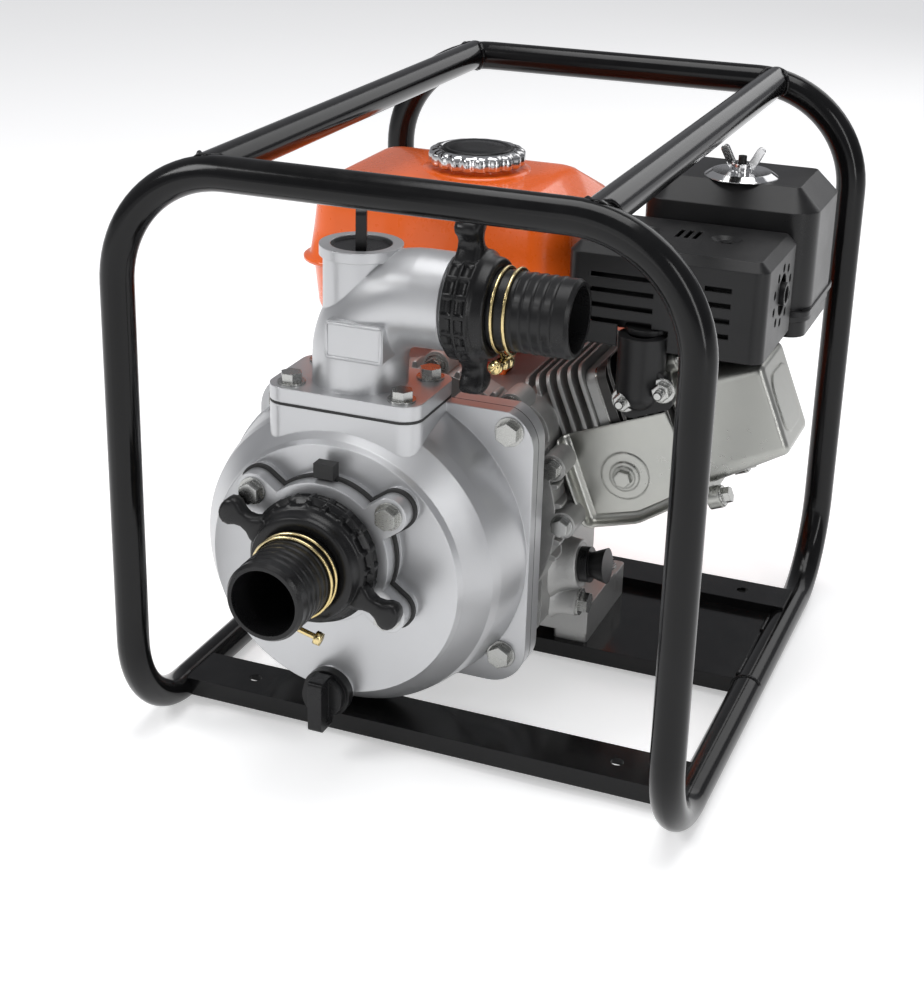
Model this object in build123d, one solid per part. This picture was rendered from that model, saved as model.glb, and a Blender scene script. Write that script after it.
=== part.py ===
from build123d import *
import math
import os

os.makedirs("parts", exist_ok=True)

# Centrifugal water pump: a pump end bolted to a small petrol engine, carried in
# a tubular roll cage. All sizes in millimetres.
# +X is the cylinder-head side, +Y runs along the crank axis away from the pump,
# +Z is up. Pieces are drawn about the centre of the cage footprint on the floor, and
# saved about the centre of the whole pump's footprint.

SHIFT = (-3.145, 19.1, 0.0)                       # cage centre to overall footprint centre

# --- cage ---
TUBE_R, TUBE_WALL = 11.0, 1.8
CAGE_A, CAGE_B, CAGE_H = 186.0, 223.0, 416.0      # tube centre half width, half depth, full height
TOP_BEND, LOW_BEND = 78.0, 66.0
BAR_X = 122.0                                     # top bars, half spacing
SHEET = 3.0
STRIP_HOLE_R = 4.5

# --- axes ---
CX, CZ = -44.0, 140.0                             # crank and impeller axis
DX, DZ = -61.0, 131.0                             # domed casing axis
SX, SZ = -61.0, 152.5                             # suction port axis
EX, EY, EZ = -64.0, -123.0, 312.0                 # riser axis x, y and outlet axis height

# --- engine ---
YC = 24.0                                         # cylinder centre plane
TILT = 22.0                                       # cylinder lean towards +X
BORE_R, STROKE = 34.0, 54.0
ROD_LENGTH = 90.0
DECK = 140.0                                      # head joint, measured from the crank axis
COVER_END = 250.0                                 # outer face of the valve cover


# ---------------------------------------------------------------- helpers
def rod(p, d, r, h):
    """Round bar from point p along direction d."""
    return Plane(origin=p, z_dir=d) * Cylinder(r, h, align=(Align.CENTER, Align.CENTER, Align.MIN))


def cone(p, d, r0, r1, h):
    return Plane(origin=p, z_dir=d) * Cone(r0, r1, h, align=(Align.CENTER, Align.CENTER, Align.MIN))


def ring(p, d, r_out, r_in, h):
    return rod(p, d, r_out, h) - rod(p, d, r_in, h)


def hexa(p, d, flats, h):
    return Plane(origin=p, z_dir=d) * extrude(RegularPolygon(flats / 2, 6, major_radius=False), h)


def block(x0, x1, y0, y1, z0, z1):
    return Pos((x0 + x1) / 2, (y0 + y1) / 2, (z0 + z1) / 2) * Box(x1 - x0, y1 - y0, z1 - z0)


def soft_block(x0, x1, y0, y1, z0, z1, r, axis=Axis.Z):
    b = block(x0, x1, y0, y1, z0, z1)
    return fillet(b.edges().filter_by(axis), r)


def bolt(p, d, r, length, flats, head):
    """Hex bolt: seat at p, head standing along d, shank the other way."""
    washer = rod(p, d, flats * 0.72, 1.4)
    top = hexa(Vector(*p) + Vector(*d) * 1.4, d, flats, head)
    return washer + top + rod(p, Vector(*d) * -1, r, length)


def group(parts):
    return Compound(children=[p for p in parts])


def save(name, shape):
    export_step(Pos(*SHIFT) * shape, "parts/%s.step" % name)


def tilted(shape):
    """Place a shape drawn with the cylinder axis along X from the crank axis."""
    return Pos(CX, 0, CZ) * Rot(0, -TILT, 0) * shape


def rounded_outline(x0, x1, z0, z1, r, y, depth):
    """Rounded rectangle standing in the XZ plane, grown towards +Y."""
    b = block(x0, x1, y, y + depth, z0, z1)
    return fillet(b.edges().filter_by(Axis.Y), r)


def swept_tube(path, start, direction, r_out, r_in=0.0):
    profile = Plane(origin=start, z_dir=direction) * Circle(r_out)
    body = sweep(profile, path=path)
    if r_in:
        body -= sweep(Plane(origin=start, z_dir=direction) * Circle(r_in), path=path)
    return body


# ---------------------------------------------------------------- cage
def hoop(s, wall):
    """Half of the cage: inverted U at one end with both bottom rails to mid depth.
    s = -1 gives the pump end, s = +1 the recoil end."""
    y, zt, zb = s * CAGE_B, CAGE_H - TUBE_R, TUBE_R
    pts = [(-CAGE_A, 0, zb), (-CAGE_A, y, zb), (-CAGE_A, y, zt), (CAGE_A, y, zt),
           (CAGE_A, y, zb), (CAGE_A, 0, zb)]
    radii = [LOW_BEND, TOP_BEND, TOP_BEND, LOW_BEND]
    edges = []
    here = Vector(*pts[0])
    for i, r in enumerate(radii):
        corner = Vector(*pts[i + 1])
        into = (corner - Vector(*pts[i])).normalized()
        away = (Vector(*pts[i + 2]) - corner).normalized()
        a, b = corner - into * r, corner + away * r
        mid = corner + (away - into) * (r * (1 - math.sqrt(0.5)))
        edges.append(Line(here, a))
        edges.append(ThreePointArc(a, mid, b))
        here = b
    edges.append(Line(here, Vector(*pts[5])))
    wire = Wire(edges)
    return swept_tube(wire, pts[0], (0, s, 0), TUBE_R, TUBE_R - wall) if wall else swept_tube(
        wire, pts[0], (0, s, 0), TUBE_R)


front_hoop, rear_hoop = hoop(-1, TUBE_WALL), hoop(1, TUBE_WALL)
hoop_space = [hoop(-1, 0), hoop(1, 0)]
save("frame_front_hoop", front_hoop)
save("frame_rear_hoop", rear_hoop)

top_bars = []
for s in (-1, 1):
    bar = ring((s * BAR_X, -CAGE_B, CAGE_H - TUBE_R), (0, 1, 0), TUBE_R, TUBE_R - TUBE_WALL, 2 * CAGE_B)
    bar -= hoop_space
    top_bars.append(max(bar.solids(), key=lambda q: q.volume))
save("frame_top_bars", group(top_bars))

rails = rod((-CAGE_A, -CAGE_B, TUBE_R), (0, 1, 0), TUBE_R + 0.01, 2 * CAGE_B)
rails += rod((CAGE_A, -CAGE_B, TUBE_R), (0, 1, 0), TUBE_R + 0.01, 2 * CAGE_B)


def channel(y0, y1, top, drop, holes):
    """Folded sheet across the two bottom rails, coped to sit against them."""
    c = block(-CAGE_A, CAGE_A, y0, y1, top - drop, top)
    c -= block(-CAGE_A, CAGE_A, y0 + SHEET, y1 - SHEET, top - drop, top - SHEET)
    for x, y, r in holes:
        c -= rod((x, y, top - drop), (0, 0, 1), r, drop + 1)
    c -= rails
    c -= hoop_space
    return max(c.solids(), key=lambda q: q.volume)


STRIP_X = 134.0
FRONT_Y, REAR_Y = -146.0, 131.0
save("front_cross_channel", channel(FRONT_Y - 20, FRONT_Y + 20, 20, 13,
                                    [(s * STRIP_X, FRONT_Y, STRIP_HOLE_R) for s in (-1, 1)]))
save("rear_cross_channel", channel(REAR_Y - 17, REAR_Y + 17, 24, 16,
                                   [(s * 150.0, REAR_Y, STRIP_HOLE_R) for s in (-1, 1)]))
PLATE_TOP = 17.0
FOOT_X = (-137.0, 49.0)
FOOT_Y = (21.0, 89.0)
feet_points = [(x, y) for x in FOOT_X for y in FOOT_Y]
plate = block(-CAGE_A, CAGE_A, 2, REAR_Y - 17, PLATE_TOP - SHEET, PLATE_TOP)
plate += block(-CAGE_A, CAGE_A, 2, 2 + SHEET, PLATE_TOP - 12, PLATE_TOP)
plate -= rails
for x, y in feet_points:
    plate -= rod((x, y, 0), (0, 0, 1), 4.2, 30)
save("engine_base_plate", max(plate.solids(), key=lambda q: q.volume))

# ---------------------------------------------------------------- pump casing
FLANGE_Y, DOME_END = -109.0, -172.0
CORNERS = [(37, 224), (37, 60), (-129, 222), (-129, 55)]


def back_outline(y, depth):
    """Square cover outline with the round casing edge on one side."""
    sq = rounded_outline(-146, 54, 38, 239, 27, y, depth)
    both = sq + rod((DX, y, DZ), (0, 1, 0), 114.5, depth)
    return both & block(-200, 100, y, y + depth, 0, 237.5)


def dome(offset):
    """Stepped dome turned about the casing axis."""
    r = [113.5 - offset, 107.5 - offset, 105 - offset, 102.5 - offset, 91 - offset, 89 - offset]
    e = DOME_END + offset
    pts = [(0, FLANGE_Y), (r[0], FLANGE_Y), (r[1], -141), (r[2], -150), (r[3], -153 + offset * 0.4),
           (r[4], -167 + offset * 0.8), (r[5], e), (0, e)]
    face = make_face(Polyline(*pts, close=True))
    body = revolve(Plane.XY * face, Axis.Y)
    return Pos(DX, 0, DZ) * body


TOWER = (-117.0, -8.0, -162.0, -89.0)
TOWER_TOP = 238.0
OVERHANG_Z = 228.5                                # the riser flange reaches over the back cover here
notch = block(TOWER[0] - 1, TOWER[1] + 1, -99, -84, OVERHANG_Z - 1, 260)
outer = dome(0)
tower = soft_block(TOWER[0], TOWER[1], TOWER[2], TOWER[3], 150, TOWER_TOP, 14)
casing = outer + tower + back_outline(FLANGE_Y, 10)
casing -= block(TOWER[0] - 1, TOWER[1] + 1, -99, -80, 140, OVERHANG_Z)
inner = dome(5)
inner += rod((DX, FLANGE_Y - 1, DZ), (0, 1, 0), 108.5, 12)
inner += soft_block(TOWER[0] + 7, TOWER[1] - 7, TOWER[2] + 6, TOWER[3] - 12, 150, TOWER_TOP + 1, 9)
casing -= inner


def flange_outline(y, depth, core, ear, spread=60.0):
    """Round flange with four bolt ears."""
    f = rod((SX, y, SZ), (0, 1, 0), core, depth)
    for a in (36, 144, 216, 324):
        c, s = math.cos(math.radians(a)), math.sin(math.radians(a))
        f += rod((SX + spread * c, y, SZ + spread * s), (0, 1, 0), ear, depth)
        web = Pos(SX + spread * c / 2, y + depth / 2, SZ + spread * s / 2) * Rot(0, -a, 0)
        f += web * Box(spread, depth, ear * 2)
    return f


SUCTION_BOLTS = [(SX + 60 * math.cos(math.radians(a)), SZ + 60 * math.sin(math.radians(a)))
                 for a in (36, 144, 216, 324)]
casing += flange_outline(-178, 8, 49, 12.5)
# suction duct steps from the port down to the impeller eye
casing += rod((SX, -173, SZ), (0, 1, 0), 34, 20.5) + rod((CX, -160, CZ), (0, 1, 0), 34, 13.7)
casing -= rod((SX, -180, SZ), (0, 1, 0), 27, 25.5)
casing -= rod((CX, -158, CZ), (0, 1, 0), 28.2, 16)
DRAIN_X, DRAIN_Z = -61.0, 38.0
casing += rod((DRAIN_X, -176, DRAIN_Z + 6), (0, 1, 0), 15, 9)
casing -= rod((DRAIN_X, -177, DRAIN_Z + 6), (0, 1, 0), 8.2, 14)
for x, z in CORNERS:
    casing -= rod((x, FLANGE_Y - 1, z), (0, 1, 0), 4.3, 14)
    casing -= rod((x, FLANGE_Y - 12, z), (0, 1, 0), 10.4, 12)
for x, z in SUCTION_BOLTS:
    casing -= rod((x, -179, z), (0, 1, 0), 3.6, 8)
ELBOW_BOLTS = [(x, y) for x in (TOWER[0] + 15, TOWER[1] - 15) for y in (-149, -101)]
casing = max(casing.solids(), key=lambda q: q.volume)
save("pump_casing", casing)

save("drain_plug", rod((DRAIN_X, -183, DRAIN_Z + 6), (0, 1, 0), 17, 6.7)
     + rod((DRAIN_X, -190, DRAIN_Z + 6), (0, 1, 0), 14.5, 7.2)
     + rod((DRAIN_X, -183, DRAIN_Z + 6), (0, 1, 0), 8.1, 18)
     + soft_block(DRAIN_X - 5, DRAIN_X + 5, -201, -183, DRAIN_Z - 15, DRAIN_Z + 22, 3, Axis.X))

casing_seal = (back_outline(-99, 1.0) - notch - rod((DX, -100, DZ), (0, 1, 0), 108.5, 4)
               - [rod((x, -101, z), (0, 1, 0), 5, 4) for x, z in CORNERS])
cover = back_outline(-98, 12) - notch - rod((CX, -99, CZ), (0, 1, 0), 18, 14)
cover += ring((CX, -86, CZ), (0, 1, 0), 58, 44, 10) + ring((CX, -90, CZ), (0, 1, 0), 24, 18, 4)
for x, z in CORNERS:
    cover -= rod((x, -100, z), (0, 1, 0), 4.2, 16)
save("pump_back_cover", cover)
pump_bolts = [bolt((x, FLANGE_Y, z), (0, -1, 0), 4.0, 24, 14, 6) for x, z in CORNERS]

# ---------------------------------------------------------------- inside the pump
scroll = rod((CX - 4, -146, CZ + 3), (0, 1, 0), 70, 48)
scroll -= rod((CX - 3, -141, CZ + 2), (0, 1, 0), 63, 50)
scroll += (block(CX - 61, CX - 28, -146, -98, CZ + 20, CZ + 74)
           - rod((CX - 3, -141, CZ + 2), (0, 1, 0), 63, 50))
scroll -= block(CX - 57, CX - 32, -141, -103, CZ + 20, CZ + 76)
scroll -= rod((CX, -147, CZ), (0, 1, 0), 24, 10)
scroll += ring((CX, -150, CZ), (0, 1, 0), 28, 24, 6)
save("inner_volute", max(scroll.solids(), key=lambda q: q.volume))

wheel = rod((CX, -107.5, CZ), (0, 1, 0), 56, 4) + rod((CX, -137, CZ), (0, 1, 0), 17, 33)
curve = Pos(0, 34) * (Circle(22) - Circle(19) - Pos(-24, 0) * Rectangle(48, 60))
vane = Plane(origin=(CX, -131, CZ), z_dir=(0, 1, 0)) * extrude(curve, 24)
for i in range(6):
    wheel += vane.rotate(Axis((CX, 0, CZ), (0, 1, 0)), 60 * i)
wheel &= rod((CX, -138, CZ), (0, 1, 0), 56, 40)
wheel -= rod((CX, -139, CZ), (0, 1, 0), 10, 40)
save("impeller", wheel)
save("mechanical_seal", ring((CX, -102.5, CZ), (0, 1, 0), 17.9, 10.3, 14)
     - ring((CX, -99, CZ), (0, 1, 0), 15.5, 12.5, 8))

# ---------------------------------------------------------------- suction side
gasket = flange_outline(-181, 3, 50.5, 14) + block(SX - 7, SX + 7, -187, -178, SZ + 50, SZ + 60)
gasket -= rod((SX, -182, SZ), (0, 1, 0), 28, 5)
gasket -= [rod((x, -182, z), (0, 1, 0), 3.6, 5) for x, z in SUCTION_BOLTS]
save("check_valve_gasket", gasket)
save("check_valve_flap", rod((SX, -177.6, SZ - 1), (0, 1, 0), 23.5, 3)
     + rod((SX, -176.5, SZ - 1), (0, 1, 0), 14, 3.5)
     + block(SX - 8, SX + 8, -177.6, -174.6, SZ + 15, SZ + 24.5))
flange = flange_outline(-192, 11, 48.5, 12)
flange += cone((SX, -192, SZ), (0, -1, 0), 40, 34, 2.8) + rod((SX, -192, SZ), (0, -1, 0), 34, 18)
flange = flange - rod((SX, -211, SZ), (0, 1, 0), 26, 31)
flange -= block(SX - 8, SX + 8, -182.5, -180, SZ + 47, SZ + 60)
flange -= [rod((x, -193, z), (0, 1, 0), 3.5, 13) for x, z in SUCTION_BOLTS]
save("suction_flange", max(flange.solids(), key=lambda q: q.volume))
pump_bolts += [bolt((x, -192, z), (0, -1, 0), 3.4, 19, 13, 6) for x, z in SUCTION_BOLTS]


def barb(length, ridge, tube, bore, collar):
    """Hose tail drawn along +Z from its collar face."""
    pts = [(bore, 0), (collar, 0), (collar, 4.5), (tube + 1.0, 4.5), (tube + 0.6, 14)]
    n = 5
    step = (length - 30) / n
    for i in range(n):
        z = 24 + i * step
        pts += [(ridge, z), (ridge, z + 1.2), (tube, z + 2.2)]
    pts += [(tube + 0.4, length - 2.5), (tube - 1.4, length), (bore, length)]
    face = make_face(Polyline(*pts, close=True))
    return revolve(Plane.XZ * face, Axis.Z)


def ring_nut(r_big, r_front, bore, depth, band, lug):
    """Coupling ring drawn along +Z: notched band, smooth nose, two finger lugs on +/-X."""
    n = rod((0, 0, 0), (0, 0, 1), r_big, band)
    n += cone((0, 0, band), (0, 0, 1), r_front + 2, r_front, depth - band)
    for i in range(16):
        a = 22.5 * i + 11.25
        c, s = math.cos(math.radians(a)), math.sin(math.radians(a))
        n -= Pos((r_big + 0.3) * c, (r_big + 0.3) * s, band / 2) * Rot(0, 0, a) * Box(3.2, 7, band * 0.62)
    for s in (-1, 1):
        n += soft_block(min(s * r_front, s * (r_big + 12)), max(s * r_front, s * (r_big + 12)),
                        -8, 8, lug + 1, lug + 13, 2.0, Axis.X)
        n += rod((s * (r_big + 15), 0, lug), (0, 0, 1), 10, 15)
    return n - rod((0, 0, -1), (0, 0, 1), bore, depth + 2)


suction_axis = Plane(origin=(SX, -195, SZ),
                     x_dir=(math.cos(math.radians(25)), 0, -math.sin(math.radians(25))),
                     z_dir=(0, -1, 0))
nut = ring_nut(44, 36, 34.3, 26, 15, 5)
nut = nut + ring((0, 0, 21), (0, 0, 1), 36.2, 27.2, 5)
save("suction_ring_nut", suction_axis * nut)
save("suction_hose_barb", Plane(origin=(SX, -210.2, SZ), z_dir=(0, -1, 0)) * barb(62, 26.7, 26.0, 22, 33.5))


def wire_clamp(r, wire, gap):
    """Two-turn wire hose clamp drawn along +Z, screw across the ends at -Y."""
    turns = [Pos(0, 0, z) * Torus(r + wire, wire) for z in (0, gap)]
    lug = [block(-6, -3, -r - 13, -r - 0.5, -2.5, gap + 2.5),
           block(7, 10, -r - 13, -r - 0.5, -2.5, gap + 2.5)]
    screw = (rod((-12, -r - 8, gap / 2), (1, 0, 0), 2.1, 42)
             + rod((27, -r - 8, gap / 2), (1, 0, 0), 4.6, 4.5))
    screw -= block(30, 32, -r - 8.6, -r - 7.4, -8, gap + 8)
    body = turns[0] + turns[1] + lug[0] + lug[1] + screw
    return body


suction_clamp = (Plane(origin=(SX, -226, SZ), x_dir=(1, 0, 0), z_dir=(0, -1, 0))
                 * wire_clamp(26.9, 1.25, 6.5))

# ---------------------------------------------------------------- riser elbow
sheet = soft_block(TOWER[0], TOWER[1], TOWER[2], TOWER[3], TOWER_TOP, TOWER_TOP + 2, 14)
sheet -= rod((EX, EY, 230), (0, 0, 1), 27, 12)
sheet -= [rod((x, y, 230), (0, 0, 1), 4, 12) for x, y in ELBOW_BOLTS]
save("pump_gaskets", group([casing_seal, sheet]))
BEND = 45.0
path = Wire([Line((EX, EY, 240), (EX, EY, EZ - BEND)),
             ThreePointArc((EX, EY, EZ - BEND),
                           (EX + BEND * (1 - math.sqrt(0.5)), EY, EZ - BEND * (1 - math.sqrt(0.5))),
                           (EX + BEND, EY, EZ)),
             Line((EX + BEND, EY, EZ), (2, EY, EZ))])
body = swept_tube(path, (EX, EY, 240), (0, 0, 1), 32)
body += soft_block(TOWER[0], TOWER[1], TOWER[2], TOWER[3], 240, 250, 14)
body += rod((EX, EY, 280), (0, 0, 1), 25, 63) + rod((EX, EY, 336), (0, 0, 1), 27.5, 7)
body += soft_block(EX - 10, EX + 31, EY - 35, EY, 274, 300, 3, Axis.Y)
body += rod((2, EY, EZ), (1, 0, 0), 29, 20)
body -= swept_tube(path, (EX, EY, 240), (0, 0, 1), 26)
body -= rod((EX, EY, 239), (0, 0, 1), 26, 4)
body -= rod((0, EY, EZ), (1, 0, 0), 24.5, 24)
body -= rod((EX, EY, 300), (0, 0, 1), 20.3, 60)
for x, y in ELBOW_BOLTS:
    body -= rod((x, y, 239), (0, 0, 1), 4.2, 13)
    body -= rod((x, y, 250), (0, 0, 1), 10.5, 10)
save("discharge_elbow", max(body.solids(), key=lambda q: q.volume))
pump_bolts += [bolt((x, y, 250), (0, 0, 1), 4.0, 9.8, 13, 6) for x, y in ELBOW_BOLTS]
save("pump_bolts", group(pump_bolts))
plug = rod((EX, EY, 330), (0, 0, 1), 20.0, 9) + rod((EX, EY, 339), (0, 0, 1), 18, 2)
plug += Pos(EX, EY, 0) * Rot(0, 0, 23) * soft_block(-3.5, 3.5, -13, 13, 338, 368, 4, Axis.X)
save("filler_plug", plug)

out_axis = Plane(origin=(5, EY, EZ), x_dir=(0, -math.sin(math.radians(8)), math.cos(math.radians(8))),
                 z_dir=(1, 0, 0))
nut = ring_nut(36.5, 32, 29.3, 27, 18, 1.5) + ring((0, 0, 22), (0, 0, 1), 32.2, 26.4, 5)
save("discharge_ring_nut", out_axis * nut)
save("discharge_hose_barb",
     Plane(origin=(22.2, EY, EZ), z_dir=(1, 0, 0)) * barb(63, 25.9, 25.2, 21.5, 28.8))
discharge_clamp = (Plane(origin=(35.5, EY, EZ), x_dir=(0, 1, 0), z_dir=(1, 0, 0))
                   * wire_clamp(26.1, 1.25, 7.5))
save("hose_wire_clamps", group([suction_clamp, discharge_clamp]))

# ---------------------------------------------------------------- engine block
FRONT, BACK = -48.0, 74.0                         # crankcase joint and rear wall
case_bolts = []
for a in (1, 24, 52, 85, 118, 150, 182, 214, 246, 282, 318):
    t = math.radians(a)
    case_bolts.append((CX + 105 * math.cos(t), CZ + 105 * math.sin(t)))


def case_outline(y, depth):
    o = rod((CX, y, CZ), (0, 1, 0), 100, depth)
    for x, z in case_bolts:
        o += rod((x, y, z), (0, 1, 0), 9.5, depth)
    return o


FIN_Y0, FIN_Y1, FIN_LOW, FIN_HIGH = YC - 50, YC + 50, -54, 60
block_body = case_outline(FRONT, 10) + soft_block(-132, 44, FRONT, BACK, 38, 222, 24, Axis.Y)
block_body += tilted(rod((48, YC, 0), (1, 0, 0), 43, DECK - 49))
block_body += tilted(soft_block(DECK - 8, DECK - 1, FIN_Y0 + 4, FIN_Y1 - 4,
                                FIN_LOW + 6, FIN_HIGH - 6, 10, Axis.X))
for i in range(6):
    at = 88 + 8.2 * i
    block_body += tilted(soft_block(at, at + 2.6, FIN_Y0, FIN_Y1, FIN_LOW, FIN_HIGH, 12, Axis.X))
for x in FOOT_X:
    x0, x1 = x - 13, x + 13
    block_body += soft_block(x0, x1, 8, 102, PLATE_TOP, 30, 3)
    block_body += block(min(x0, x0 + 8 if x < 0 else x0 - 14),
                        max(x1, x1 + 14 if x < 0 else x1 - 8), 8, 76, 24, 46)
    for y in FOOT_Y:
        block_body += soft_block(x0, x1, y - 13, y + 13, PLATE_TOP, 43, 3)
block_body += rod((36, -12, 88), (1, 0, 0.12), 16, 26) + rod((36, -14, 62), (1, 0, 0), 10, 26)
block_body += rod((-124, -12, 88), (-1, 0, 0.12), 16, 16)
hollow = soft_block(-122, 34, FRONT - 1, 60, 47, 212, 18, Axis.Y)
block_body -= hollow
block_body -= tilted(rod((30, YC, 0), (1, 0, 0), BORE_R, 125))
block_body -= rod((CX, 59, CZ), (0, 1, 0), 26, 30)
block_body -= rod((30, -12, 87.3), (1, 0, 0.12), 8.3, 40) + rod((30, -14, 62), (1, 0, 0), 6.2, 40)
block_body -= rod((-118, -12, 87.3), (-1, 0, 0.12), 8.3, 40)
for x, y in feet_points:
    block_body -= rod((x, y, 10), (0, 0, 1), 4.2, 40) + rod((x, y, 43), (0, 0, 1), 12, 4)
for x, z in case_bolts:
    block_body -= rod((x, FRONT - 1, z), (0, 1, 0), 3.1, 9)
save("crankcase", max(block_body.solids(), key=lambda q: q.volume))

case_cover = case_outline(-62, 14)
case_cover += ring((CX, -76, CZ), (0, 1, 0), 58, 44, 14.5)
for a in (45, 135, 225, 315):
    rib = Pos(CX, -69, CZ) * Rot(0, -a, 0) * Pos(70, 0, 0) * Box(44, 14, 7)
    case_cover += rib
case_cover -= rod((CX, -60, CZ), (0, 1, 0), 26, 14) + rod((CX, -63, CZ), (0, 1, 0), 20, 5)
for x, z in case_bolts:
    case_cover -= rod((x, -63, z), (0, 1, 0), 3.2, 16)
save("crankcase_cover", case_cover)
engine_bolts = [bolt((x, -62, z), (0, -1, 0), 3.0, 21, 11, 5.5) for x, z in case_bolts]
mounts = []
for x, y in feet_points:
    mounts.append(bolt((x, y, 43), (0, 0, 1), 4.0, 36, 13, 6)
                  + hexa((x, y, PLATE_TOP - SHEET), (0, 0, -1), 13, 6))
save("engine_mount_bolts", group(mounts))

# ---------------------------------------------------------------- crank train
save("main_bearings", group([ring((CX, -60, CZ), (0, 1, 0), 26, 12.5, 12)
                             - ring((CX, -61, CZ), (0, 1, 0), 21, 17.5, 3),
                             ring((CX, 60, CZ), (0, 1, 0), 26, 12.5, 14)
                             - ring((CX, 72, CZ), (0, 1, 0), 21, 17.5, 3)]))


def web(y, depth):
    w = tilted(rod((0, y, 0), (0, 1, 0), 24, depth) + rod((STROKE / 2, y, 0), (0, 1, 0), 15.5, depth)
               + block(0, STROKE / 2, y, y + depth, -15, 15))
    heavy = tilted(rod((0, y, 0), (0, 1, 0), 42, depth) & block(-50, -4, y, y + depth, -40, 40))
    return w + heavy


front_crank = rod((CX, -137, CZ), (0, 1, 0), 9.98, 75.5) + rod((CX, -62, CZ), (0, 1, 0), 12.45, 16)
front_crank += rod((CX, -47, CZ), (0, 1, 0), 16, YC - 22 + 47) + web(YC - 22, 10)
rear_crank = (web(YC + 12, 10) + rod((CX, YC + 22, CZ), (0, 1, 0), 16, 13)
              + rod((CX, YC + 34, CZ), (0, 1, 0), 12.45, 18))
rear_crank += rod((CX, 75, CZ), (0, 1, 0), 11, 50) + rod((CX, 124, CZ), (0, 1, 0), 7, 14)
save("crankshaft", group([front_crank, rear_crank]))
save("crank_pin", tilted(rod((STROKE / 2, YC - 11.6, 0), (0, 1, 0), 15, 23.2)))
PIN_AT = STROKE / 2 + ROD_LENGTH
link = tilted(rod((STROKE / 2, YC - 10, 0), (0, 1, 0), 21, 20)
              + rod((PIN_AT, YC - 10, 0), (0, 1, 0), 12.5, 20)
              + block(STROKE / 2 + 12, PIN_AT - 6, YC - 4, YC + 4, -8.5, 8.5))
link -= tilted(rod((STROKE / 2, YC - 14, 0), (0, 1, 0), 15.05, 30)
               + rod((PIN_AT, YC - 14, 0), (0, 1, 0), 8.0, 30))
save("connecting_rod", link)
save("wrist_pin", tilted(rod((PIN_AT, YC - 27, 0), (0, 1, 0), 8.0, 54)))
crown = DECK - 1.5
slug = tilted(rod((PIN_AT - 17, YC, 0), (1, 0, 0), BORE_R - 0.08, crown - PIN_AT + 17))
slug -= tilted(rod((PIN_AT - 19, YC, 0), (1, 0, 0), 29, crown - PIN_AT + 12)
               - block(PIN_AT - 12, PIN_AT + 30, YC - 34, YC - 11, -13, 13)
               - block(PIN_AT - 12, PIN_AT + 30, YC + 11, YC + 34, -13, 13))
slug -= tilted(rod((PIN_AT, YC - 40, 0), (0, 1, 0), 8.0, 80))
grooves = [tilted(ring((at, YC, 0), (1, 0, 0), 34.5, 31, 2)) for at in (crown - 6, crown - 11, crown - 16)]
save("piston", max((slug - grooves).solids(), key=lambda q: q.volume))
save("piston_rings", group([tilted(ring((at, YC, 0), (1, 0, 0), BORE_R - 0.03, 31, 1.9))
                            for at in (crown - 6, crown - 11, crown - 16)]))

# ---------------------------------------------------------------- head
save("head_gasket", tilted(soft_block(DECK - 1, DECK, FIN_Y0 + 4, FIN_Y1 - 4,
                                      FIN_LOW + 6, FIN_HIGH - 6, 10, Axis.X)
                           - rod((DECK - 3, YC, 0), (1, 0, 0), 35, 6)))
HEAD_END = 188.0
head = soft_block(DECK, DECK + 7, FIN_Y0 + 4, FIN_Y1 - 4, FIN_LOW + 6, FIN_HIGH - 6, 10, Axis.X)
head += block(DECK, HEAD_END, YC - 38, YC + 40, -42, 46)
for i in range(5):
    at = DECK + 11 + 7.6 * i
    head += soft_block(at, at + 2.4, FIN_Y0, FIN_Y1, FIN_LOW, FIN_HIGH, 12, Axis.X)
head += block(162, 186, FIN_Y0 - 1, FIN_Y0 + 30, 18, 48)
head += block(160, 184, FIN_Y1 - 20, FIN_Y1 + 1, -20, 14)
head -= rod((DECK - 1, YC, 0), (1, 0, 0), 30, 7)
head -= rod((174, FIN_Y0 - 2, 33), (0, 1, 0), 9, 40) + rod((172, FIN_Y1 - 30, -3), (0, 1, 0), 9, 40)
EXH_X, EXH_Y, EXH_Z = 100.0, -27.0, 238.0
PLUG_Y, PLUG_H = FIN_Y1 + 2, 26
head += rod((HEAD_END - 14, PLUG_Y, PLUG_H), (1, 0, 0), 11, 14)
head -= rod((HEAD_END - 17, PLUG_Y, PLUG_H), (1, 0, 0), 6.55, 20)
head = tilted(head) - rod((EXH_X, EXH_Y, EXH_Z - 17), (0, 0, 1), 17, 62)
save("cylinder_head", max(head.solids(), key=lambda q: q.volume))
COVER_Y0, COVER_Y1 = YC - 42, YC + 38
COVER_LOW, COVER_HIGH = -47.0, 38.0


def cover_bowl(inset, end):
    """Pressed bowl that narrows towards the outer face."""
    foot = Plane(origin=(HEAD_END, (COVER_Y0 + COVER_Y1) / 2, (COVER_LOW + COVER_HIGH) / 2),
                 x_dir=(0, 1, 0),
                 z_dir=(1, 0, 0))
    bowl = foot * extrude(RectangleRounded(COVER_Y1 - COVER_Y0 - 2 * inset,
                                           COVER_HIGH - COVER_LOW - 2 * inset,
                                           16 - inset), end - HEAD_END, taper=9)
    return fillet(bowl.faces().sort_by(Axis.X)[-1].edges(), 5 - inset / 2)


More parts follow.
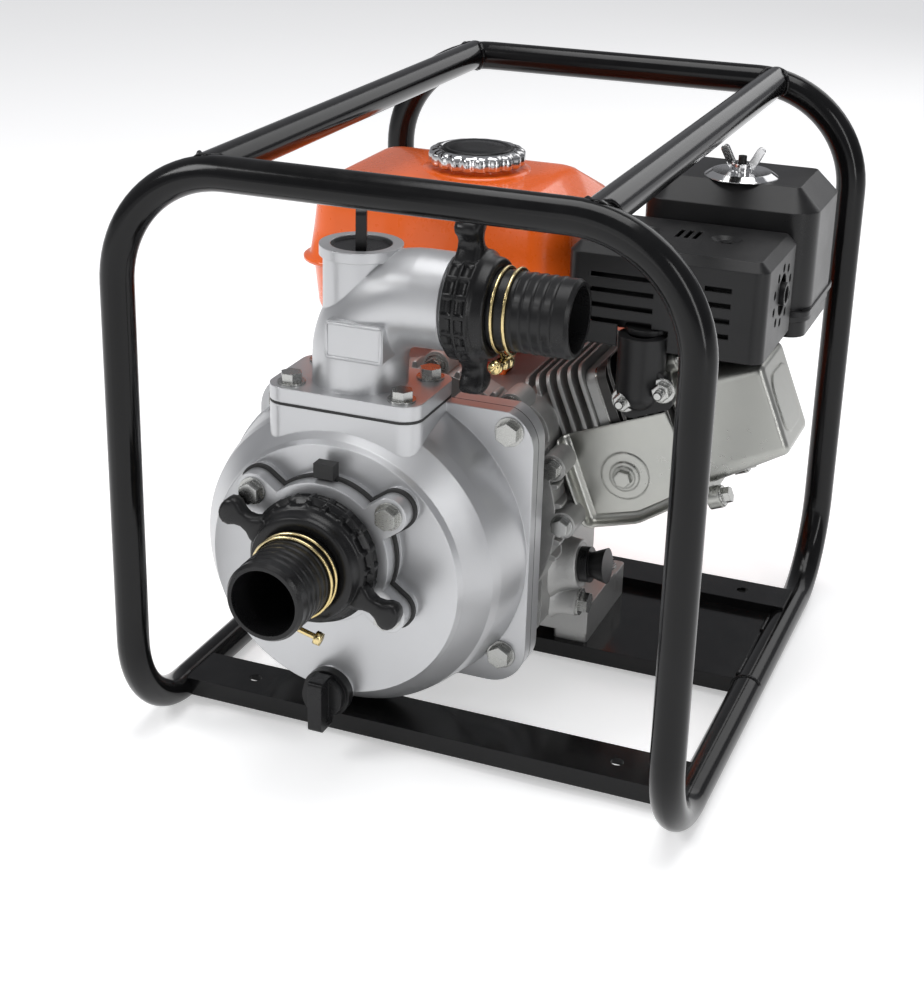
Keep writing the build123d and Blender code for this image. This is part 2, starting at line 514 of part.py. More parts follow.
lid = cover_bowl(0, COVER_END)
lid += soft_block(HEAD_END, HEAD_END + 4, COVER_Y0 - 4, COVER_Y1 + 4, -52, 43, 12, Axis.X)
lid -= cover_bowl(3, COVER_END - 3)
lid += soft_block(COVER_END - 0.5, COVER_END + 0.8, YC - 24, YC + 20, -26, 16, 12, Axis.X)
COVER_BOLTS = [(COVER_Y0 + 6, -55), (COVER_Y1 - 6, -55), (COVER_Y0 + 6, 46), (COVER_Y1 - 6, 46)]
for y, h in COVER_BOLTS:
    lid += rod((HEAD_END, y, h), (1, 0, 0), 8, 9)
for y, h in COVER_BOLTS:
    lid -= rod((HEAD_END - 1, y, h), (1, 0, 0), 3.2, 12)
save("valve_cover", tilted(lid) - rod((EXH_X, EXH_Y, 230), (0, 0, 1), 17.2, 60))
engine_bolts += [tilted(bolt((HEAD_END + 9, y, h), (1, 0, 0), 3.0, 8.0, 10, 5)) for y, h in COVER_BOLTS]
engine_bolts.append(bolt((62, -14, 62), (1, 0, 0), 6.0, 14, 14, 6))
save("engine_bolts", group(engine_bolts))
spark = (hexa((HEAD_END, PLUG_Y, PLUG_H), (1, 0, 0), 16, 8)
         + rod((HEAD_END + 8, PLUG_Y, PLUG_H), (1, 0, 0), 5, 8))
spark += rod((HEAD_END - 16, PLUG_Y, PLUG_H), (1, 0, 0), 6.5, 16)
spark += (rod((HEAD_END + 14, PLUG_Y, PLUG_H), (1, 0, 0), 9, 16)
          + rod((HEAD_END + 23, PLUG_Y, PLUG_H), (0, 1, 0), 5, 15))
save("spark_plug", tilted(spark))

# sheet guide under the cylinder, pump side
G0 = FIN_Y0 - 1.6
outline = make_face(Polyline((105, -50), (105, 16), (182, 16), (186, -18), (176, -47), (140, -54),
                             close=True))
guide = Plane(origin=(0, G0, 0), x_dir=(1, 0, 0), z_dir=(0, -1, 0)) * extrude(outline, -1.6)
guide += rod((140, G0 - 1.2, -22), (0, 1, 0), 17, 1.6)
guide += rod((140, G0 - 3.0, -22), (0, 1, 0), 10.5, 3)
guide = max(guide.solids(), key=lambda q: q.volume)
guide += bolt((140, G0 - 3.0, -22), (0, -1, 0), 2.5, 1, 11, 5)
save("air_guide_plate", tilted(guide))

# ---------------------------------------------------------------- exhaust
elbow = rod((EXH_X, EXH_Y, EXH_Z), (0, 0, 1), 16.5, 38) + Pos(EXH_X, EXH_Y, EXH_Z) * Sphere(16.5)
plate = Pos(CX, 0, CZ) * Rot(0, -TILT, 0) * soft_block(156, 192, FIN_Y0 - 9, FIN_Y0 - 1, 19, 47, 6, Axis.Y)
elbow += plate
for at in (160, 188):
    elbow += tilted(hexa((at, FIN_Y0 - 9, 33), (0, -1, 0), 11, 6)
                    + rod((at, FIN_Y0 - 15, 33), (0, -1, 0), 3, 7))
elbow -= rod((EXH_X, EXH_Y, EXH_Z), (0, 0, 1), 10, 45)
save("exhaust_elbow", max(elbow.solids(), key=lambda q: q.volume))
SILENCER = (56, 172, -20, 50, 276, 322)
can = soft_block(*SILENCER, 16) - soft_block(59, 169, -17, 47, 279, 319, 13)
can += soft_block(52, 176, -24, 54, 290, 293, 18) - block(59, 169, -17, 47, 280, 310)
can -= rod((EXH_X, 0, 270), (0, 0, 1), 10, 12)
can += rod((170, 20, 302), (1, 0, 0), 8, 14) - rod((168, 20, 302), (1, 0, 0), 6, 18)
can -= rod((166, 20, 302), (1, 0, 0), 6, 6)
can += rod((EXH_X, EXH_Y + 7, 276.1), (0, 0, 1), 14, 3.9)
for x in (70, 158):
    for y in (-8, 38):
        can += rod((x, y, 321), (0, 0, 1), 4, 11.4)
save("muffler", max(can.solids(), key=lambda q: q.volume))
SHIELD = (45, 181, -30, 62, 266, 334)
skin = block(*SHIELD)
skin = fillet(skin.edges().filter_by(Axis.Z), 9)
skin = chamfer(skin.faces().sort_by(Axis.Z)[-1].edges(), 6)
inside = fillet(block(46.6, 179.4, -28.4, 60.4, 260, 332.4).edges().filter_by(Axis.Z), 7.4)
inside = chamfer(inside.faces().sort_by(Axis.Z)[-1].edges(), 5.4)
skin -= inside
for i in range(4):
    z = 281 + i * 10.5
    for x0, x1 in ((62, 106), (140, 158)):
        skin -= block(x0, x1, -32, -27, z, z + 3.4)
for i in range(10):
    a = math.radians(18 + i * 36)
    skin -= rod((177, 20 + 24 * math.cos(a), 301 + 19 * math.sin(a)), (1, 0, 0), 3.1, 6)
for x, y in ((84, 22), (140, 22)):
    skin += cone((x, y, 329.4), (0, 0, 1), 8.5, 13.6, 4.6)
    skin -= cone((x, y, 331.2), (0, 0, 1), 7.2, 12.2, 4.0)
    skin += rod((x, y, 330.6), (0, 0, 1), 3.4, 2.0)
for i in range(3):
    skin -= block(106 + i * 6, 109 + i * 6, 14, 34, 331, 336)
skin -= block(EXH_X - 17.5, EXH_X + 17.5, -34, -26, 260, 281)
skin -= rod((176, 20, 297), (1, 0, 0), 10, 8) + rod((176, 20, 306), (1, 0, 0), 10, 8)
skin -= block(176, 184, 10, 30, 297, 306)
skin -= block(36, 190, 55, 70, 260, 276)
save("muffler_shield", max(skin.solids(), key=lambda q: q.volume))

# ---------------------------------------------------------------- air cleaner and carburettor
AX0, AX1, AY0, AY1, AZ0, AZ1 = 66, 190, 66, 160, 264, 360
PORT_X, PORT_Z = 117.0, 201.0
tray = soft_block(AX0 + 2, AX1 - 2, AY0 + 2, AY1 - 2, AZ0 - 8, AZ0 + 3, 12)
tray -= soft_block(AX0 + 5, AX1 - 5, AY0 + 5, AY1 - 5, AZ0 - 5, AZ0 + 5, 9)
tray += (rod((PORT_X, 137, PORT_Z), (0, 0, 1), 17, AZ0 - 5 - PORT_Z)
         + rod((PORT_X, 120, PORT_Z), (0, 1, 0), 17, 17))
tray += Pos(PORT_X, 137, PORT_Z) * Sphere(17)
tray -= rod((PORT_X, 137, PORT_Z), (0, 0, 1), 13, 80) + rod((PORT_X, 119, PORT_Z), (0, 1, 0), 13, 18)
STUD_X, STUD_Y = 129.0, 100.0
tray += (rod((STUD_X, STUD_Y, AZ0 - 6), (0, 0, 1), 7, 10)
         + rod((STUD_X, STUD_Y, AZ0), (0, 0, 1), 3, AZ1 - AZ0 + 14))
tray -= block(AX0, 126, AY0, FIN_Y1 + 2, 250, AZ0 + 3.1)
save("air_cleaner_base", tray)
element = rod((STUD_X, STUD_Y, AZ0 + 5), (0, 0, 1), 30, 70) - rod((STUD_X, STUD_Y, AZ0), (0, 0, 1), 20, 90)
element += (ring((STUD_X, STUD_Y, AZ0 + 4), (0, 0, 1), 31, 8, 3)
            + ring((STUD_X, STUD_Y, AZ0 + 74), (0, 0, 1), 31, 5, 4))
save("air_filter_element", element)


def hat(d):
    """Chamfered air cleaner hood, offset inwards by d."""
    h = fillet(block(AX0 + d, AX1 - d, AY0 + d, AY1 - d, AZ0 + 3, AZ1 - d).edges().filter_by(Axis.Z),
               19 - d)
    return chamfer(h.faces().sort_by(Axis.Z)[-1].edges(), 15 - d / 2)


hood = hat(0) - (hat(2.4) + block(AX0 + 8, AX1 - 8, AY0 + 8, AY1 - 8, AZ0, AZ0 + 8))
hood -= rod((STUD_X, STUD_Y, AZ1 - 10), (0, 0, 1), 3.6, 20)
hood += (soft_block(AX0 - 1, AX1 + 1, AY0 - 1.5, AY1 + 1, AZ0 + 8, AZ0 + 12, 11)
         - block(AX0 + 4, AX1 - 4, AY0 + 4, AY1 - 4, 250, 300))
save("air_cleaner_cover", max(hood.solids(), key=lambda q: q.volume))
cup = (cone((STUD_X, STUD_Y, AZ1), (0, 0, 1), 26.5, 21, 3.5)
       + rod((STUD_X, STUD_Y, AZ1 + 3), (0, 0, 1), 7, 6))
for s in (-1, 1):
    wing = Pos(STUD_X + s * 10, STUD_Y, AZ1 + 13) * Rot(0, s * 28, 0) * Box(6, 2.6, 17)
    cup += fillet(wing.edges().filter_by(Axis.Y), 2.6)
cup += block(STUD_X - 9, STUD_X + 9, STUD_Y - 1.3, STUD_Y + 1.3, AZ1 + 5, AZ1 + 9)
cup -= rod((STUD_X, STUD_Y, AZ1 - 1), (0, 0, 1), 3.3, 30)
save("air_cleaner_wing_nut", cup)

carb = soft_block(PORT_X - 19, PORT_X + 19, 82, 118, PORT_Z - 18, PORT_Z + 18, 4, Axis.Y)
carb += soft_block(PORT_X - 26, PORT_X + 26, FIN_Y1 + 1, 82, PORT_Z - 16, PORT_Z + 16, 7, Axis.Y)
carb += rod((PORT_X, 114, PORT_Z), (0, 1, 0), 17, 6) + rod((PORT_X, 100, PORT_Z - 44), (0, 0, 1), 19, 28)
carb += rod((PORT_X, 100, PORT_Z - 49), (0, 0, 1), 5, 6)
carb -= rod((PORT_X, 70, PORT_Z), (0, 1, 0), 9, 50) + rod((PORT_X, 112, PORT_Z), (0, 1, 0), 13, 9)
carb += block(PORT_X + 19, PORT_X + 27, 88, 104, PORT_Z - 26, PORT_Z - 10)
save("carburettor", carb)
choke = (rod((PORT_X + 19.4, 110, PORT_Z), (1, 0, 0), 6, 5)
         + soft_block(PORT_X + 20, PORT_X + 24, 106, 114, PORT_Z, PORT_Z + 34, 2, Axis.X))
choke += soft_block(PORT_X + 20, PORT_X + 32, 104, 116, PORT_Z + 26, PORT_Z + 38, 3, Axis.X)
save("choke_lever", choke)
cock = (rod((PORT_X + 27.4, 96, PORT_Z - 18), (1, 0, 0), 5, 5)
        + soft_block(PORT_X + 29, PORT_X + 34, 92, 122, PORT_Z - 22, PORT_Z - 14, 3, Axis.X))
save("fuel_cock_lever", cock)

# ---------------------------------------------------------------- fuel tank
T0, T1, U0, U1 = -165.0, 37.0, -15.0, 130.0
TX, TY = (T0 + T1) / 2, (U0 + U1) / 2
SEAM_Z, TANK_TOP, TANK_LOW = 290.0, 353.0, 248.0
CAP_X, CAP_Y = -58.0, 66.0


def shell(inset):
    upper = Pos(TX, TY, SEAM_Z) * extrude(RectangleRounded(T1 - T0 - 2 * inset, U1 - U0 - 2 * inset,
                                                           26 - inset),
                                         TANK_TOP - SEAM_Z - inset, taper=8)
    upper = fillet(upper.faces().sort_by(Axis.Z)[-1].edges(), 13 - inset)
    lower = Pos(TX, TY, SEAM_Z) * Rot(180, 0, 0) * extrude(
        RectangleRounded(T1 - T0 - 4 - 2 * inset, U1 - U0 - 4 - 2 * inset, 26 - inset),
        SEAM_Z - TANK_LOW - inset, taper=5)
    lower = fillet(lower.faces().sort_by(Axis.Z)[0].edges(), 9 - inset)
    return upper + lower


seam = extrude(RectangleRounded(T1 - T0 + 8, U1 - U0 + 8, 30), 2.2, both=True)
tank = shell(0) + Pos(TX, TY, SEAM_Z) * seam
tank += rod((CAP_X, CAP_Y, TANK_TOP - 3), (0, 0, 1), 29, 6)
tank -= shell(1.6)
tank -= rod((CAP_X, CAP_Y, TANK_TOP - 12), (0, 0, 1), 26, 30)
for x, y in ((-110, 6), (-20, 6)):
    tank += block(x - 14, x + 14, y - 9, y + 9, 222, 224) + block(x - 14, x - 11, y - 9, y + 9, 222, 250)
    tank += block(x + 11, x + 14, y - 9, y + 9, 222, 250)
save("fuel_tank", max(tank.solids(), key=lambda q: q.volume))
cap = (rod((CAP_X, CAP_Y, TANK_TOP + 3.2), (0, 0, 1), 35.5, 11)
       - rod((CAP_X, CAP_Y, TANK_TOP + 2), (0, 0, 1), 29.6, 5))
for i in range(12):
    a = math.radians(30 * i)
    cap -= rod((CAP_X + 39.5 * math.cos(a), CAP_Y + 39.5 * math.sin(a), TANK_TOP), (0, 0, 1), 6.5, 20)
cap += (rod((CAP_X, CAP_Y, TANK_TOP + 13), (0, 0, 1), 27.5, 2.6)
        + rod((CAP_X, CAP_Y, TANK_TOP - 8), (0, 0, 1), 25.5, 15))
save("fuel_cap", cap)

# ---------------------------------------------------------------- flywheel, shroud, recoil starter
fly = (rod((CX, 94, CZ), (0, 1, 0), 20, 28) + rod((CX, 96, CZ), (0, 1, 0), 80, 7)
       + ring((CX, 92, CZ), (0, 1, 0), 80, 68, 20))
for i in range(16):
    blade = Pos(CX, 110, CZ) * Rot(0, 22.5 * i, 0) * Pos(64, 0, 0) * Rot(0, 25, 0) * Box(30, 20, 2.6)
    fly += blade
fly += ring((CX, 118, CZ), (0, 1, 0), 33, 30.5, 26) + ring((CX, 118, CZ), (0, 1, 0), 33, 18, 3)
fly += hexa((CX, 121.9, CZ), (0, 1, 0), 22, 11)
fly -= rod((CX, 90, CZ), (0, 1, 0), 11, 35.1) + rod((CX, 124, CZ), (0, 1, 0), 7, 16)
save("flywheel", fly)
SH_R, SH_BACK = 95.0, 150.0
duct = block(22, 90, 75, 122, 140, 236) - block(24, 88, 74, 120, 142, 234)
drum = (ring((CX, 75, CZ), (0, 1, 0), SH_R, SH_R - 2.2, SH_BACK - 75)
        + ring((CX, SH_BACK - 2.5, CZ), (0, 1, 0), SH_R, 70, 2.5))
shroud = drum + (duct - rod((CX, 70, CZ), (0, 1, 0), SH_R, 90))
shroud -= block(30, 60, 82, 112, 150, 225)
shroud += block(62, 84, 122, 134, 196, 216) - block(65, 81, 128, 136, 198.4, 213.6)
for x, z in ((CX - 66, CZ - 66), (CX - 66, CZ + 66)):
    shroud += rod((x, 74, z), (0, 1, 0), 7, 6)
save("fan_shroud", max(shroud.solids(), key=lambda q: q.volume))
save("engine_switch", soft_block(65.4, 80.6, 129.8, 138, 199.4, 212.6, 2.5, Axis.X))
REC_R = 80.0
rec = fillet(rod((CX, SH_BACK, CZ), (0, 1, 0), REC_R, 28).edges().sort_by(Axis.Y)[-1], 9)
rec -= fillet(rod((CX, SH_BACK - 1, CZ), (0, 1, 0), REC_R - 2, 27).edges().sort_by(Axis.Y)[-1], 8)
for i in range(12):
    rec -= Pos(CX, SH_BACK + 26, CZ) * Rot(0, 30 * i, 0) * Pos(54, 0, 0) * Box(24, 8, 6)
rec += ring((CX, SH_BACK, CZ), (0, 1, 0), 88, REC_R - 2, 2.5)
rec += rod((CX, SH_BACK + 8, CZ), (0, 1, 0), 6, 19)
ROPE_Z = CZ + 30
rec += block(CX - 92, CX - 66, SH_BACK + 4, SH_BACK + 22, ROPE_Z - 8, ROPE_Z + 8)
rec -= rod((CX - 95, SH_BACK + 13, ROPE_Z), (1, 0, 0), 3.2, 60)
save("recoil_cover", max(rec.solids(), key=lambda q: q.volume))
reel = rod((CX, SH_BACK + 8, CZ), (0, 1, 0), 34, 10) - ring((CX, SH_BACK + 10, CZ), (0, 1, 0), 36, 27, 6)
save("recoil_pulley", reel - rod((CX, SH_BACK, CZ), (0, 1, 0), 6.06, 30))
pull = soft_block(CX - 118, CX - 106, SH_BACK - 14, SH_BACK + 40, ROPE_Z - 8, ROPE_Z + 8, 5, Axis.Y)
pull += cone((CX - 107, SH_BACK + 13, ROPE_Z), (1, 0, 0), 6, 4, 13.5)
pull += rod((CX - 96, SH_BACK + 13, ROPE_Z), (1, 0, 0), 2.2, 94)
save("starter_grip", pull)

# ---------------------------------------------------------------- small controls
stick_dir = Vector(1, 0, 0.12).normalized()
seat = Vector(36, -12, 88) + Vector(1, 0, 0.12).normalized() * 26
dip = rod(seat, stick_dir, 13, 7) + cone(seat + stick_dir * 7, stick_dir, 9, 13, 12)
dip += rod(seat - stick_dir * 40, stick_dir, 2.5, 40) + rod(seat - stick_dir * 12, stick_dir, 8.2, 12)
save("dipstick", dip)
PIVOT = (72.0, 98.0, 236.0)
lever = (rod(PIVOT, (0, 0, 1), 9, 3)
         + soft_block(PIVOT[0] - 4, PIVOT[0] + 4, PIVOT[1], PIVOT[1] + 46, 236.4, 239, 3))
lever += soft_block(PIVOT[0] - 5, PIVOT[0] + 5, PIVOT[1] + 38, PIVOT[1] + 50, 236.4, 252, 2)
save("throttle_lever", lever)
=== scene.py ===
"""Centrifugal water pump: looks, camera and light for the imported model.

All lengths are metres in the row frame. MM turns drawing millimetres, measured from the
cage centre as in the model, into that frame.
"""
import math

import bmesh
import bpy
from mathutils import Matrix, Vector


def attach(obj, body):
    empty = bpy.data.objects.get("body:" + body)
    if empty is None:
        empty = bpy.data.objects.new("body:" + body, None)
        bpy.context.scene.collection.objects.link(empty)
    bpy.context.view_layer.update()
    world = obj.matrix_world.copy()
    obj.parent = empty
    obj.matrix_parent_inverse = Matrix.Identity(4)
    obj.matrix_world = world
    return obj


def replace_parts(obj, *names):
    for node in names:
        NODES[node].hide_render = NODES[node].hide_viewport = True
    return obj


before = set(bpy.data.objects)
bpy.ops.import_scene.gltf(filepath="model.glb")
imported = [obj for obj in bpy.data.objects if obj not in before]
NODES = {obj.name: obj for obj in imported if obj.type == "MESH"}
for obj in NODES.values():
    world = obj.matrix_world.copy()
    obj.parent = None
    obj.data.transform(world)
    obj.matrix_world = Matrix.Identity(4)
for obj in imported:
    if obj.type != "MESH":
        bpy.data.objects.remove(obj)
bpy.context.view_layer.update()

SHIFT = Vector((-3.145, 19.1, 0.0))          # cage centre to the row frame's origin
CX, CZ = -44.0, 140.0                        # crank axis
SX, SZ = -61.0, 152.5                        # suction axis
EX, EY, EZ = -64.0, -123.0, 312.0            # riser and outlet axes
TUBE_R = 11.0                                # cage tube
CAGE_A, CAGE_B, CAGE_H = 186.0, 223.0, 416.0  # cage half width, half length and height
BAR_X = 122.0                                # top bars, from the middle
YC, TILT = 24.0, math.radians(22.0)          # cylinder axis: its Y, and its lean
FIN_FRONT = YC - 50.0                        # pump side of the cylinder fins
CAP = (-58.0, 66.0, 353.0)                   # fuel cap seat
DUST = (0.34, 0.33, 0.31)


def MM(x, y, z):
    """Drawing millimetres to row-frame metres."""
    return (Vector((x, y, z)) + SHIFT) / 1000.0


# ---------------------------------------------------------------- materials
class Graph:
    """Small helper that builds a node material around one Principled shader."""

    def __init__(self, name):
        self.mat = bpy.data.materials.new(name)
        self.mat.use_nodes = True
        self.tree = self.mat.node_tree
        self.shader = self.tree.nodes["Principled BSDF"]
        coords = self.tree.nodes.new("ShaderNodeTexCoord")
        self.place = coords.outputs["Object"]

    def add(self, kind, inputs=(), **props):
        node = self.tree.nodes.new(kind)
        for key, value in props.items():
            setattr(node, key, value)
        for key, value in dict(inputs).items():
            if isinstance(value, bpy.types.NodeSocket):
                self.tree.links.new(value, node.inputs[key])
            else:
                node.inputs[key].default_value = value
        return node

    def noise(self, scale, detail=3.0, rough=0.55, stretch=None):
        place = self.place
        if stretch:
            place = self.add("ShaderNodeMapping", {"Vector": place, "Scale": stretch}).outputs[0]
        n = self.add("ShaderNodeTexNoise", {"Vector": place, "Scale": scale, "Detail": detail,
                                             "Roughness": rough})
        return n.outputs["Fac"]

    def cells(self, scale):
        v = self.add("ShaderNodeTexVoronoi", {"Vector": self.place, "Scale": scale})
        return v.outputs["Distance"]

    def ramp(self, value, low, high, a, b):
        r = self.add("ShaderNodeMapRange", {"Value": value, "From Min": low, "From Max": high,
                                             "To Min": a, "To Max": b})
        return r.outputs["Result"]

    def mix(self, factor, a, b):
        m = self.add("ShaderNodeMix", data_type="RGBA")
        for slot, value in ((0, factor), (6, a), (7, b)):
            if isinstance(value, bpy.types.NodeSocket):
                self.tree.links.new(value, m.inputs[slot])
            else:
                m.inputs[slot].default_value = value if slot == 0 else (*value, 1.0)
        return m.outputs[2]

    def upward(self):
        """1 on faces that look up, 0 elsewhere: where dust settles."""
        geo = self.add("ShaderNodeNewGeometry")
        sep = self.add("ShaderNodeSeparateXYZ", {0: geo.outputs["Normal"]})
        return self.ramp(sep.outputs["Z"], 0.2, 1.0, 0.0, 1.0)

    def edge_mask(self, radius, amount):
        """Rises to amount on sharp outer corners, broken up by noise: where a lighter colour goes on the
        edges.
        """
        soft = self.add("ShaderNodeBevel", {"Radius": radius}, samples=4)
        geo = self.add("ShaderNodeNewGeometry")
        dot = self.add("ShaderNodeVectorMath", {0: soft.outputs[0], 1: geo.outputs["Normal"]},
                       operation="DOT_PRODUCT")
        turn = self.ramp(dot.outputs["Value"], 0.97, 0.8, 0.0, amount)
        patchy = self.ramp(self.noise(160.0, 4.0), 0.3, 0.55, 0.3, 1.0)
        return self.add("ShaderNodeMath", {0: turn, 1: patchy}, operation="MULTIPLY").outputs[0]

    def colour(self, socket):
        self.tree.links.new(socket, self.shader.inputs["Base Color"])

    def roughness(self, socket):
        self.tree.links.new(socket, self.shader.inputs["Roughness"])

    def bump(self, height, strength, distance, edge=0.0006):
        edges = self.add("ShaderNodeBevel", {"Radius": edge}, samples=4)
        b = self.add("ShaderNodeBump", {"Height": height, "Strength": strength, "Distance": distance,
                                         "Normal": edges.outputs[0]})
        self.tree.links.new(b.outputs[0], self.shader.inputs["Normal"])

    def set(self, **values):
        for key, value in values.items():
            socket = {"coat": "Coat Weight", "coat_rough": "Coat Roughness", "metal": "Metallic",
                      "spec": "Specular IOR Level"}[key]
            self.shader.inputs[socket].default_value = value


def finish(name, base, tint, rough, spread, metal=0.0, coat=0.0, coat_rough=0.05, patch=18.0, grain=900.0,
           grain_depth=0.1, grain_size=0.0002, dust=0.0, edge=0.0006, pits=0.0, streak=None, spec=0.5,
           edge_tint=None, edge_tint_amount=0.0):
    """General surface: two-tone colour variation, roughness drift, fine grain and soft edges.

    patch and grain are noise scales per metre, grain_size and edge are metres, and the optional
    edge colour is the colour laid on sharp outer corners.
    """
    g = Graph(name)
    large = g.noise(patch, 4.0)
    fine = g.noise(grain, 2.0, stretch=streak)
    tone = g.mix(g.ramp(large, 0.3, 0.7, 0.0, 1.0), base, tint)
    if dust:
        speckle = {0: g.upward(), 1: g.ramp(g.noise(patch * 4), 0.35, 0.75, 0.0, dust)}
        settled = g.add("ShaderNodeMath", speckle, operation="MULTIPLY").outputs[0]
        tone = g.mix(settled, tone, DUST)
    # lighter colour on sharp outer corners; on the cylinder head finish it keeps the fin edges light
    # against its painted shade
    if edge_tint:
        tone = g.mix(g.edge_mask(edge * 1.6, edge_tint_amount), tone, edge_tint)
    g.colour(tone)
    drift = g.add("ShaderNodeMath", {0: g.ramp(large, 0.3, 0.7, rough - spread, rough + spread),
                                     1: g.ramp(fine, 0.3, 0.7, -spread * 0.5, spread * 0.5)},
                  operation="ADD")
    g.roughness(drift.outputs[0])
    height = fine
    if pits:
        hollow = g.ramp(g.cells(grain * 0.45), 0.0, 0.35, -pits, 0.0)
        height = g.add("ShaderNodeMath", {0: fine, 1: hollow}, operation="ADD").outputs[0]
    g.bump(height, grain_depth, grain_size, edge)
    g.set(metal=metal, coat=coat, coat_rough=coat_rough, spec=spec)
    return g.mat


TUBE = finish("gloss_black_paint", (0.003, 0.003, 0.0032), (0.005, 0.005, 0.0054), 0.15, 0.02, spec=0.25,
              grain=260, grain_depth=0.05, grain_size=0.0004, dust=0.015)
SILVER = finish("silver_casting_paint", (0.5, 0.505, 0.515), (0.55, 0.555, 0.565), 0.34, 0.04,
                metal=0.7, patch=9, grain=1500, grain_depth=0.22, grain_size=0.00025, coat=0.12,
                coat_rough=0.3, edge=0.0012)
ALLOY = finish("cast_aluminium", (0.36, 0.36, 0.355), (0.47, 0.47, 0.46), 0.46, 0.07, metal=0.85,
               patch=22, grain=1100, grain_depth=0.45, grain_size=0.0004, pits=0.5, edge=0.0009)
# near-black base colour is painted shade among the cylinder fins; the sharp fin edges keep a light metal
# colour
SHADED_FIN_ALLOY = finish("fin_aluminium_painted_shade", (0.035, 0.034, 0.033), (0.07, 0.068, 0.065), 0.42, 0.06,
                    metal=0.4, edge_tint=(0.55, 0.54, 0.52), edge_tint_amount=0.9, patch=22, grain=1100, grain_depth=0.4,
                    grain_size=0.0004, pits=0.4, edge=0.0006)
PLASTIC = finish("moulded_black_plastic", (0.006, 0.006, 0.0065), (0.011, 0.011, 0.0115), 0.3, 0.05,
                 patch=30, spec=0.3, grain=1400, grain_depth=0.16, grain_size=0.0002, edge=0.0008)
HOOD = finish("gloss_black_plastic", (0.008, 0.008, 0.0085), (0.013, 0.013, 0.0135), 0.34, 0.05,
              patch=14, spec=0.3, grain=1000, grain_depth=0.06, grain_size=0.0002, dust=0.02,
              edge=0.0012)
RUBBER = finish("black_rubber", (0.012, 0.012, 0.012), (0.025, 0.025, 0.025), 0.62, 0.06, grain=1500,
                grain_depth=0.2, grain_size=0.0002)
ZINC = finish("zinc_plate", (0.4, 0.405, 0.4), (0.46, 0.46, 0.435), 0.27, 0.03, metal=1.0, patch=20,
              grain=400, grain_depth=0.02, grain_size=0.0002, streak=(1.0, 1.0, 6.0))
COVER_ZINC = finish("pressed_zinc_cover", (0.36, 0.365, 0.345), (0.44, 0.44, 0.41), 0.3, 0.03,
                    metal=0.95, patch=9, grain=220, grain_depth=0.02, grain_size=0.0002, edge=0.002)
BRASS = finish("brass_wire", (0.66, 0.52, 0.24), (0.74, 0.62, 0.36), 0.22, 0.05, metal=1.0, grain=900,
               grain_depth=0.05, grain_size=0.0001)
CHROME = finish("chrome_plate", (0.62, 0.62, 0.63), (0.7, 0.7, 0.7), 0.1, 0.04, metal=1.0, grain=500,
                grain_depth=0.02, grain_size=0.0001, edge=0.0012)
ORANGE = finish("orange_enamel", (0.84, 0.12, 0.008), (0.88, 0.14, 0.012), 0.28, 0.03, coat=0.5,
                coat_rough=0.06, patch=3, grain=160, grain_depth=0.008, grain_size=0.0002, edge=0.0015)
HEAT = finish("black_heat_paint", (0.008, 0.008, 0.0085), (0.014, 0.014, 0.0145), 0.36, 0.05, spec=0.28,
              patch=16, grain=1300, grain_depth=0.12, grain_size=0.0002, dust=0.02, edge=0.0012)
IRON = finish("machined_iron", (0.2, 0.2, 0.205), (0.28, 0.28, 0.28), 0.4, 0.08, metal=0.9, grain=900,
              grain_depth=0.25, grain_size=0.0002)
FOAM = finish("filter_foam", (0.6, 0.5, 0.3), (0.7, 0.62, 0.42), 0.9, 0.04, grain=600, grain_depth=0.9,
              grain_size=0.001, pits=1.0)

LOOK = {
    TUBE: "frame_front_hoop frame_rear_hoop frame_top_bars front_cross_channel rear_cross_channel "
          "engine_base_plate",
    SILVER: "pump_casing pump_back_cover suction_flange discharge_elbow",
    ALLOY: "crankcase crankcase_cover connecting_rod piston carburettor",
    SHADED_FIN_ALLOY: "cylinder_head",
    PLASTIC: "suction_ring_nut suction_hose_barb filler_plug drain_plug discharge_ring_nut "
             "discharge_hose_barb air_cleaner_base choke_lever fuel_cock_lever engine_switch "
             "recoil_pulley starter_grip dipstick",
    HOOD: "air_cleaner_cover",
    RUBBER: "check_valve_gasket check_valve_flap pump_gaskets mechanical_seal spark_plug",
    ZINC: "pump_bolts engine_bolts engine_mount_bolts head_gasket throttle_lever",
    COVER_ZINC: "valve_cover air_guide_plate",
    BRASS: "hose_wire_clamps",
    CHROME: "fuel_cap air_cleaner_wing_nut wrist_pin main_bearings",
    ORANGE: "fuel_tank fan_shroud recoil_cover",
    HEAT: "muffler muffler_shield exhaust_elbow",
    IRON: "inner_volute impeller crankshaft crank_pin piston_rings flywheel",
    FOAM: "air_filter_element",
}
for material, names in LOOK.items():
    for name in names.split():
        for slot in NODES[name].material_slots:
            slot.material = material


# ---------------------------------------------------------------- mesh helpers
def piece(name, bm, material, body, smooth=True, bevel=0.0):
    """Turns a bmesh drawn in row-frame metres into a piece that rides on a body."""
    mesh = bpy.data.meshes.new(name)
    bmesh.ops.recalc_face_normals(bm, faces=bm.faces)
    bm.to_mesh(mesh)
    bm.free()
    obj = bpy.data.objects.new(name, mesh)
    bpy.context.scene.collection.objects.link(obj)
    mesh.materials.append(material)
    for poly in mesh.polygons:
        poly.use_smooth = smooth
    if bevel:
        mod = obj.modifiers.new("edges", "BEVEL")
        mod.width, mod.segments, mod.limit_method, mod.angle_limit = bevel, 2, "ANGLE", math.radians(35)
        mod.harden_normals = True
    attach(obj, body)
    return obj


def frames_along(points, closed=False):
    """Position, side and up vectors that turn as little as possible along a line of points."""
    count = len(points)
    side = None
    out = []
    for i, p in enumerate(points):
        before = points[i - 1] if i or closed else points[0]
        after = points[(i + 1) % count] if i < count - 1 or closed else points[-1]
        ahead = (after - before).normalized()
        if side is None:
            side = ahead.orthogonal().normalized()
        side = (side - ahead * side.dot(ahead)).normalized()
        out.append((p, side, ahead.cross(side)))
    return out


